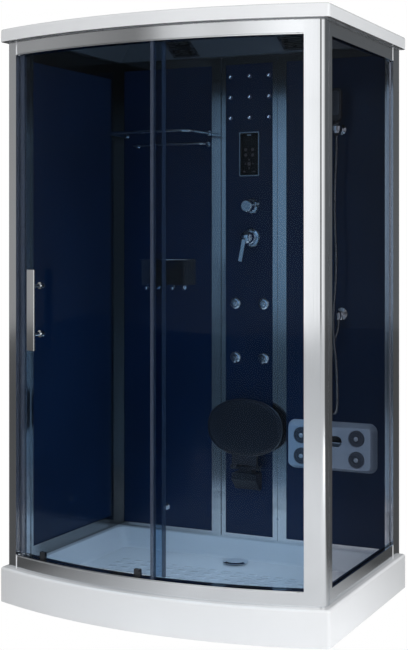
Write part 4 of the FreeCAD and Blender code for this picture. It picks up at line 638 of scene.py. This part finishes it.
def make_light_bezels():
    """Chrome ring round each light and its painted glints, found from the lenses themselves."""
    lo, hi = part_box("led_lights")
    bezels = bmesh.new()
    glints = bmesh.new()
    circle = ring_points(24)
    for row in range(LIGHT_ROWS):
        for column in range(LIGHT_ROWS):
            x = lo.x + LENS_RADIUS + (hi.x - lo.x - 2 * LENS_RADIUS) * column / (LIGHT_ROWS - 1)
            z = lo.z + LENS_RADIUS + (hi.z - lo.z - 2 * LENS_RADIUS) * row / (LIGHT_ROWS - 1)
            rings = []
            for beyond, height in BEZEL_SECTION:
                radius, level = LENS_RADIUS + beyond, PANE_FRONT - height
                rings.append([Vector((x + radius * a, level, z + radius * b)) for a, b in circle])
            add_rings(bezels, rings, closed=True)
            for across, up, size in PAINTED_GLINT_SPOTS:
                profile = [(size, 0), (size, 0.0006), (size * 0.5, 0.001)]
                add_turned(glints, profile, (x + across, lo.y - 0.0002, z + up), sides=5)
    piece("light_bezels", bezels, DARK_CHROME, "cabin")
    piece("painted_glints", glints, PAINTED_GLINT, "cabin")


make_light_bezels()

KEYPAD_CENTRE = Vector((0.004, 0.4465, 1.711))
KEYPAD_FACE = (0.079, 0.172)
# Turned profiles of the round keys, the pointed keys and the middle key: radius and height.
KEY_PROFILE = ((0.0066, 0), (0.0066, 0.0008), (0.0052, 0.0011), (0.0048, 0.0008))
POINTED_PROFILE = ((0.0042, 0), (0.0042, 0.0008), (0.003, 0.0011))
MIDDLE_PROFILE = ((0.0075, 0), (0.0075, 0.0009), (0.006, 0.0012), (0.0055, 0.0009))
# Heights on the face, from its middle.
WINDOW_RISE, MARK_RISE, KEYS_RISE, RING_RISE, BARS_RISE = 0.052, 0.078, 0.018, -0.040, -0.072
KEY_OFFSET, KEY_PITCH, RING_RADIUS, BAR_OFFSET = 0.0155, 0.022, 0.017, 0.022


def make_keypad():
    """Black glass face with a window and a mark, four round keys, a four-way ring and two bars."""
    x, y, z = KEYPAD_CENTRE
    width, height = KEYPAD_FACE
    face = bmesh.new()
    add_plate(face, (x, y + 0.0006, z), width, height, 0.003, 0.0011, 0.0004)
    piece("keypad_glass", face, KEY_FACE, "cabin")
    front = y - 0.0004
    screen = bmesh.new()
    add_plate(screen, (x, front, z + WINDOW_RISE), 0.058, 0.036, 0.003, 0.0006, 0.0003)
    piece("keypad_window", screen, SCREEN, "cabin")
    mark = bmesh.new()
    add_plate(mark, (x, front - 0.0004, z + MARK_RISE), 0.018, 0.0046, 0.0015, 0.0005, 0.0002)
    piece("keypad_mark", mark, MARK, "cabin")
    signs = bmesh.new()
    for row in range(2):
        for side in (-1, 1):
            spot = (x + side * KEY_OFFSET, front, z + KEYS_RISE - row * KEY_PITCH)
            add_turned(signs, KEY_PROFILE, spot)
    for step in range(4):
        angle = math.pi / 2 * step
        spot = (x + RING_RADIUS * math.cos(angle), front, z + RING_RISE + RING_RADIUS * math.sin(angle))
        add_turned(signs, POINTED_PROFILE, spot, sides=3 + step % 2)
    add_turned(signs, MIDDLE_PROFILE, (x, front, z + RING_RISE))
    for side in (-1, 1):
        add_plate(signs, (x + side * BAR_OFFSET, front, z + BARS_RISE), 0.011, 0.006, 0.002, 0.0008, 0.0003)
    piece("keypad_signs", signs, ICON, "cabin")


make_keypad()

# ---------------------------------------------------------------- massager

CAP_PROFILE = ((0.0088, 0.0), (0.0088, 0.0012), (0.0076, 0.0028), (0.005, 0.0042), (0.0012, 0.0048))


def make_disc_hubs():
    """Light cap on each massage disc; it turns with its disc."""
    for i in range(1, 5):
        lo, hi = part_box(f"massage_disc_{i}")
        mesh = bmesh.new()
        add_turned(mesh, CAP_PROFILE, ((lo.x + hi.x) / 2, lo.y + 0.0001, (lo.z + hi.z) / 2))
        piece(f"disc_cap_{i}", mesh, HUB, f"disc_{i}")


make_disc_hubs()

SLOT_CENTRE = (0.364, 0.5735)
SLOT_WIDTH, SLOT_HEIGHT, SLOT_DEPTH = 0.110, 0.043, 0.030
# The painted shade's wall: inset from the slot's outline and height above its floor.
SHADE_SHEET_SECTION = ((-0.0004, 0.0), (-0.0004, 0.026), (0.0008, 0.0265), (0.0008, 0.0))


def make_slot_painted_shade():
    """Painted shade: a black sheet on the floor and the wall of the massager's foot slot."""
    x, z = SLOT_CENTRE
    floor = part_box("massager_housing")[0].y + SLOT_DEPTH
    mesh = bmesh.new()
    add_plate(mesh, (x, floor + 0.0002, z), SLOT_WIDTH, SLOT_HEIGHT, SLOT_HEIGHT / 2, 0.0012, 0.0003)
    rings = []
    for inset, level in SHADE_SHEET_SECTION:
        loop = rounded_loop(SLOT_WIDTH - 2 * inset, SLOT_HEIGHT - 2 * inset, SLOT_HEIGHT / 2 - inset)
        rings.append([Vector((x + a, floor - level, z + b)) for a, b in loop])
    add_rings(mesh, rings, closed=True)
    # Black sheet as painted shade in the slot's recess.
    piece("slot_painted_shade", mesh, BLACK, "cabin")


make_slot_painted_shade()

# ---------------------------------------------------------------- handset

SPRAY_WIDTH, SPRAY_LENGTH, SPRAY_CORNER = 0.03, 0.096, 0.012
SPRAY_ROWS, ROW_PITCH = 9, 0.01
SPRAY_COLUMNS, COLUMN_PITCH = 3, 0.0085
NOZZLE_PROFILE = ((0.0017, 0), (0.0015, 0.0012), (0.0009, 0.0018))


def make_spray_face():
    """Grey face with rows of soft nozzles on the handset's room side."""
    lo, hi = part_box("handset")
    x = (lo.x + hi.x) / 2
    top = hi.z - SPRAY_CORNER
    face = bmesh.new()
    add_plate(face, (x, lo.y + 0.0004, top - SPRAY_LENGTH / 2), SPRAY_WIDTH, SPRAY_LENGTH, SPRAY_CORNER,
              0.0016, 0.0008)
    piece("spray_face", face, GRILLE, "cabin")
    nozzles = bmesh.new()
    for row in range(SPRAY_ROWS):
        for column in range(SPRAY_COLUMNS):
            spot = (x + (column - 1) * COLUMN_PITCH, lo.y - 0.001, top - 0.008 - row * ROW_PITCH)
            add_turned(nozzles, NOZZLE_PROFILE, spot, sides=12)
    piece("spray_nozzles", nozzles, BLACK, "cabin")


make_spray_face()

# ---------------------------------------------------------------- seat

SEAT_LOW = 0.478
SEAT_BACK = 0.4145
SEAT_ROUND = 2.25
SEAT_PIVOT = Vector((0.004, 0.4125, 0.430))
SEAT_BARREL, BARREL_EDGE = 0.009, 0.001
KNUCKLE_IN, KNUCKLE_OUT = 0.0294, 0.0664
NECK_HALF, NECK_LOW, NECK_HIGH, NECK_DEPTH = 0.054, 0.444, 0.505, 0.0215
ARM_HEIGHT, ARM_DEPTH, ARM_RISE = 0.021, 0.0205, 0.0095
# The board's section from its back to its dished face: inset from the outline, distance from the back.
SEAT_SECTION = (
    (0.012, 0.0), (0.004, 0.0015), (0.0, 0.006), (0.0, 0.019), (0.003, 0.0245), (0.008, 0.0274),
    (0.013, 0.028), (0.018, 0.0272), (0.026, 0.0254), (0.05, 0.0238), (0.085, 0.0232),
)


def oval(width, height, power, count=96):
    """Points round an oval that is squarer the higher the power."""
    points = []
    for x, y in ring_points(count):
        points.append((math.copysign(abs(x) ** (2 / power), x) * width / 2,
                       math.copysign(abs(y) ** (2 / power), y) * height / 2))
    return points


def make_seat():
    """Oval board with a rounded rim and a dished face, its neck and two hinge barrels."""
    lo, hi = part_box("seat_board")
    middle = Vector(((lo.x + hi.x) / 2, SEAT_BACK, (SEAT_LOW + hi.z) / 2))
    mesh = bmesh.new()
    rings = []
    for inset, level in SEAT_SECTION:
        loop = oval(hi.x - lo.x - 2 * inset, hi.z - SEAT_LOW - 2 * inset, SEAT_ROUND)
        rings.append([middle + Vector((x, -level, z)) for x, z in loop])
    add_rings(mesh, rings)
    add_plate(mesh, (SEAT_PIVOT.x, SEAT_PIVOT.y, (NECK_LOW + NECK_HIGH) / 2), 2 * NECK_HALF,
              NECK_HIGH - NECK_LOW, 0.004, NECK_DEPTH, 0.003)
    for side in (-1, 1):
        arm = SEAT_PIVOT + Vector((side * (KNUCKLE_IN + NECK_HALF) / 2, 0, ARM_RISE))
        add_plate(mesh, arm, NECK_HALF - KNUCKLE_IN, ARM_HEIGHT, 0.002, ARM_DEPTH, 0.002)
        start = SEAT_PIVOT + Vector((side * KNUCKLE_IN, 0, 0))
        length = KNUCKLE_OUT - KNUCKLE_IN
        barrel = [(SEAT_BARREL - BARREL_EDGE, 0), (SEAT_BARREL, BARREL_EDGE),
                  (SEAT_BARREL, length - BARREL_EDGE), (SEAT_BARREL - BARREL_EDGE, length)]
        add_turned(mesh, barrel, start, (side, 0, 0))
    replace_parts(piece("seat_oval", mesh, SEAT, "seat"), "seat_board")


make_seat()

# ---------------------------------------------------------------- small trim

CAMERA_PIXELS = 1291.9
PICTURE_MIDDLE, HORIZON_ROW = 204.0, 236.9
STILE_FRONT = 0.4445
# Where the photograph shows screw heads on the wall's stiles: column and row.
SCREW_PIXELS = ((277.5, 301.0), (277.5, 519.5), (221.5, 514.0), (125.5, 62.3))
SCREW_PROFILE = ((0.0046, 0), (0.0044, 0.0008), (0.0032, 0.0018), (0.0012, 0.0022))
# The bowed rails' front: its radius, and its centre behind the cabin's middle.
BOW_RADIUS, BOW_MIDDLE = 1.87154, 1.41004
RAIL_LEFT, RAIL_RIGHT = -0.589, 0.566
POST_SIDE, REAR_POST_START = 0.634, 0.3935
BEAD_LEVELS, BEAD_STEPS = (2.0535, 0.1805), 40
# A bead's section: out of the rail's front and up.
BEAD_SECTION = ((0.0005, -0.002), (-0.001, -0.0012), (-0.0015, 0), (-0.001, 0.0012), (0.0005, 0.002))
# The heights that the joint strips span, at the top rails and at the bottom rails.
STRIP_SPANS = ((2.0505, 2.1025), (0.1325, 0.1835))
STRIP_THICKNESS, STRIP_EDGE, STRIP_CORNER = 0.0018, 0.0005, 0.0008
# Widths of the gaskets at the column's left and right edge.
GASKET_WIDTHS = (0.0034, 0.0012)
RIM_RADIUS = 0.0017


def on_back_wall(column, row):
    """The point of the stiles' front face that the photograph shows at a pixel."""
    across, up = (column - PICTURE_MIDDLE) / CAMERA_PIXELS, (HORIZON_ROW - row) / CAMERA_PIXELS
    turn = Matrix.Rotation(CAMERA_TURN, 3, "Z")
    ray = turn @ Vector((across, 1, up))
    place = Vector(CAMERA_PLACE)
    return place + ray * ((STILE_FRONT - place.y) / ray.y)


def make_screws():
    """Low domed screw heads."""
    mesh = bmesh.new()
    for column, row in SCREW_PIXELS:
        add_turned(mesh, SCREW_PROFILE, on_back_wall(column, row), sides=20)
    piece("stile_screws", mesh, CHROME, "cabin")


def bow_front(x):
    """How far to the front the bowed rails reach at x."""
    return BOW_MIDDLE - math.sqrt(BOW_RADIUS ** 2 - x * x)


def make_rail_beads():
    """Fine bright beads along the edges of the bowed rails."""
    mesh = bmesh.new()
    for level in BEAD_LEVELS:
        rings = []
        for i in range(BEAD_STEPS + 1):
            x = RAIL_LEFT + 0.001 + (RAIL_RIGHT - RAIL_LEFT - 0.002) * i / BEAD_STEPS
            rings.append([Vector((x, bow_front(x) + out, level + up)) for out, up in BEAD_SECTION])
        add_rings(mesh, rings)
    piece("rail_beads", mesh, FRONT_RAIL, "cabin")


def make_joint_strips():
    """Pale strips at the joints between rails and posts."""
    mesh = bmesh.new()
    x = RAIL_LEFT + 0.0035
    for low, high in STRIP_SPANS:
        middle = (low + high) / 2
        add_plate(mesh, (x, bow_front(x) + 0.001, middle), 0.006, high - low, STRIP_CORNER,
                  STRIP_THICKNESS, STRIP_EDGE)
        add_plate(mesh, (POST_SIDE - 0.001, REAR_POST_START - 0.004, middle), 0.007, high - low,
                  STRIP_CORNER, STRIP_THICKNESS, STRIP_EDGE, (0, 1, 0), (0, 0, 1))
    piece("joint_strips", mesh, JOINT, "cabin")


def make_wall_joints():
    """Dark gaskets where the column's stiles meet their neighbours'."""
    lo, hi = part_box("column_frame")
    mesh = bmesh.new()
    for x, width in zip((lo.x, hi.x), GASKET_WIDTHS):
        add_plate(mesh, (x, STILE_FRONT + 0.0002, (lo.z + hi.z) / 2), width, hi.z - lo.z - 0.01, 0.0004,
                  0.0007, 0.0002)
    piece("wall_gaskets", mesh, BLACK, "cabin")


def make_basket_rim():
    """Bright rim of the clear basket, along its front and sides."""
    lo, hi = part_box("shelf_basket")
    inset, rise = RIM_RADIUS, hi.z - RIM_RADIUS
    corners = ((lo.x + inset, STILE_FRONT), (lo.x + inset, lo.y + inset), (hi.x - inset, lo.y + inset),
               (hi.x - inset, STILE_FRONT))
    mesh = bmesh.new()
    for (x0, y0), (x1, y1) in zip(corners, corners[1:]):
        start, run = Vector((x0, y0, rise)), Vector((x1 - x0, y1 - y0, 0))
        add_turned(mesh, [(RIM_RADIUS, 0), (RIM_RADIUS, run.length)], start, run.normalized(), sides=10)
    piece("basket_rim", mesh, CHROME, "cabin")


make_screws()
make_rail_beads()
make_joint_strips()
make_wall_joints()
make_basket_rim()

# ---------------------------------------------------------------- ceiling grilles

# The dome's slope: its rise over its run.
SLOPE = math.atan2(0.078, 0.147)
DOWN_THE_SLOPE = Vector((0, math.cos(SLOPE), -math.sin(SLOPE)))
OUT_OF_THE_SLOPE = Vector((0, math.sin(SLOPE), math.cos(SLOPE)))
GRILLE_PLACES = ((-0.263, 0.3595, 2.1504), (0.235, 0.3595, 2.1504))
GRILLE_OPENING = 0.0935
PLEATS, PLEAT_WIDTH = 16, 0.0022
PLEAT_PITCH = GRILLE_OPENING / 16.2


def make_grille_filters():
    """Dark pleated filter behind the blades of each grille."""
    mesh = bmesh.new()
    across, upwards = (1, 0, 0), DOWN_THE_SLOPE * -1
    for place in GRILLE_PLACES:
        centre = Vector(place) + OUT_OF_THE_SLOPE * 0.0075
        add_plate(mesh, centre, GRILLE_OPENING, GRILLE_OPENING, 0.001, 0.001, 0.0003, across, upwards)
        for row in range(PLEATS):
            spot = centre + DOWN_THE_SLOPE * ((row - (PLEATS - 1) / 2) * PLEAT_PITCH)
            add_plate(mesh, spot - OUT_OF_THE_SLOPE * 0.0009, GRILLE_OPENING - 0.002, PLEAT_WIDTH, 0.0004,
                      0.0014, 0.0006, across, upwards)
    piece("grille_filters", mesh, BLACK, "cabin")


make_grille_filters()

# ---------------------------------------------------------------- studio

FLOOR_HALF = 14.0
SOFT_COLOUR, SOFT_STRENGTH = (0.97, 0.985, 1, 1), 0.58
# What polished things mirror, from the room's left (0) to its right (1).
ROOM_TONES = (
    (0.0, 0.3), (0.06, 0.32), (0.15, 0.27), (0.25, 0.2), (0.285, 0.36), (0.31, 0.6), (0.36, 0.75),
    (0.45, 0.72), (0.6, 1.2), (0.66, 1.0), (0.72, 0.25), (0.8, 0.12), (0.87, 0.9), (0.94, 1.1), (1.0, 0.7),
)
# What they mirror of the side behind the cabin, and where that begins and is reached.
BEHIND_COLOUR = (0.10, 0.105, 0.11, 1)
BEHIND_START, BEHIND_END = -0.1, 0.3


def make_floor():
    mesh = bmesh.new()
    half = FLOOR_HALF
    corners = [(-half, -half), (half, -half), (half, half), (-half, half)]
    mesh.faces.new([mesh.verts.new((x, y, 0.0)) for x, y in corners])
    data = bpy.data.meshes.new("floor")
    mesh.to_mesh(data)
    mesh.free()
    data.materials.append(floor_paint())
    floor = bpy.data.objects.new("floor", data)
    scene.collection.objects.link(floor)


def make_world():
    """White beyond the floor, a soft even light on things and a toned room in their reflections."""
    world = bpy.data.worlds.new("studio")
    scene.world = world
    world.use_nodes = True
    nodes, links = world.node_tree.nodes, world.node_tree.links
    nodes.clear()
    output = nodes.new("ShaderNodeOutputWorld")
    path = nodes.new("ShaderNodeLightPath")
    white = nodes.new("ShaderNodeBackground")
    white.inputs["Color"].default_value = (1, 1, 1, 1)
    soft = nodes.new("ShaderNodeBackground")
    soft.inputs["Color"].default_value = SOFT_COLOUR
    soft.inputs["Strength"].default_value = SOFT_STRENGTH
    room = nodes.new("ShaderNodeBackground")
    direction = nodes.new("ShaderNodeTexCoord")
    split = nodes.new("ShaderNodeSeparateXYZ")
    ramp = nodes.new("ShaderNodeValToRGB")
    span = nodes.new("ShaderNodeMapRange")
    span.inputs["From Min"].default_value = -1
    span.inputs["From Max"].default_value = 1
    elements = ramp.color_ramp.elements
    for element, (position, value) in zip(elements, (ROOM_TONES[0], ROOM_TONES[-1])):
        element.position = position
        element.color = (value, value, value, 1)
    for position, value in ROOM_TONES[1:-1]:
        elements.new(position).color = (value, value, value, 1)
    behind = nodes.new("ShaderNodeMapRange")
    behind.inputs["From Min"].default_value = BEHIND_START
    behind.inputs["From Max"].default_value = BEHIND_END
    both = nodes.new("ShaderNodeMix")
    both.data_type = "RGBA"
    both.inputs[MIX_SECOND].default_value = BEHIND_COLOUR
    links.new(direction.outputs["Generated"], split.inputs["Vector"])
    links.new(split.outputs["X"], span.inputs["Value"])
    links.new(split.outputs["Y"], behind.inputs["Value"])
    links.new(span.outputs["Result"], ramp.inputs["Fac"])
    links.new(ramp.outputs["Color"], both.inputs[MIX_FIRST])
    links.new(behind.outputs["Result"], both.inputs[MIX_FACTOR])
    links.new(both.outputs[MIX_RESULT], room.inputs["Color"])
    inner = nodes.new("ShaderNodeMixShader")
    outer = nodes.new("ShaderNodeMixShader")
    links.new(path.outputs["Is Glossy Ray"], inner.inputs["Fac"])
    links.new(soft.outputs["Background"], inner.inputs[1])
    links.new(room.outputs["Background"], inner.inputs[2])
    links.new(path.outputs["Is Camera Ray"], outer.inputs["Fac"])
    links.new(inner.outputs["Shader"], outer.inputs[1])
    links.new(white.outputs["Background"], outer.inputs[2])
    links.new(outer.outputs["Shader"], output.inputs["Surface"])


def area_light(name, place, aim, size, power, spread=180):
    """A soft rectangular light that no reflection shows; power in watts, spread in degrees."""
    data = bpy.data.lights.new(name, "AREA")
    data.shape = "RECTANGLE"
    data.size, data.size_y = size
    data.energy = power
    data.spread = math.radians(spread)
    made = bpy.data.objects.new(name, data)
    made.location = place
    made.rotation_euler = (Vector(aim) - Vector(place)).to_track_quat("-Z", "Y").to_euler()
    made.visible_glossy = False
    made.visible_camera = False
    scene.collection.objects.link(made)


make_floor()
make_world()
area_light("key", (5.0, -0.6, 1.6), (0.4, 0, 0.6), (1.6, 2.0), 98)
area_light("front", (-0.9, -4.2, 0.5), (0, 0, 0.1), (3.0, 0.8), 23)
area_light("front_top", (0.0, -3.4, 3.8), (0, 0, 0.2), (2.4, 1.0), 31)
area_light("cabin_top", (0.0, -0.05, 2.04), (0.0, -0.05, 0), (0.9, 0.45), 2.6, spread=50)
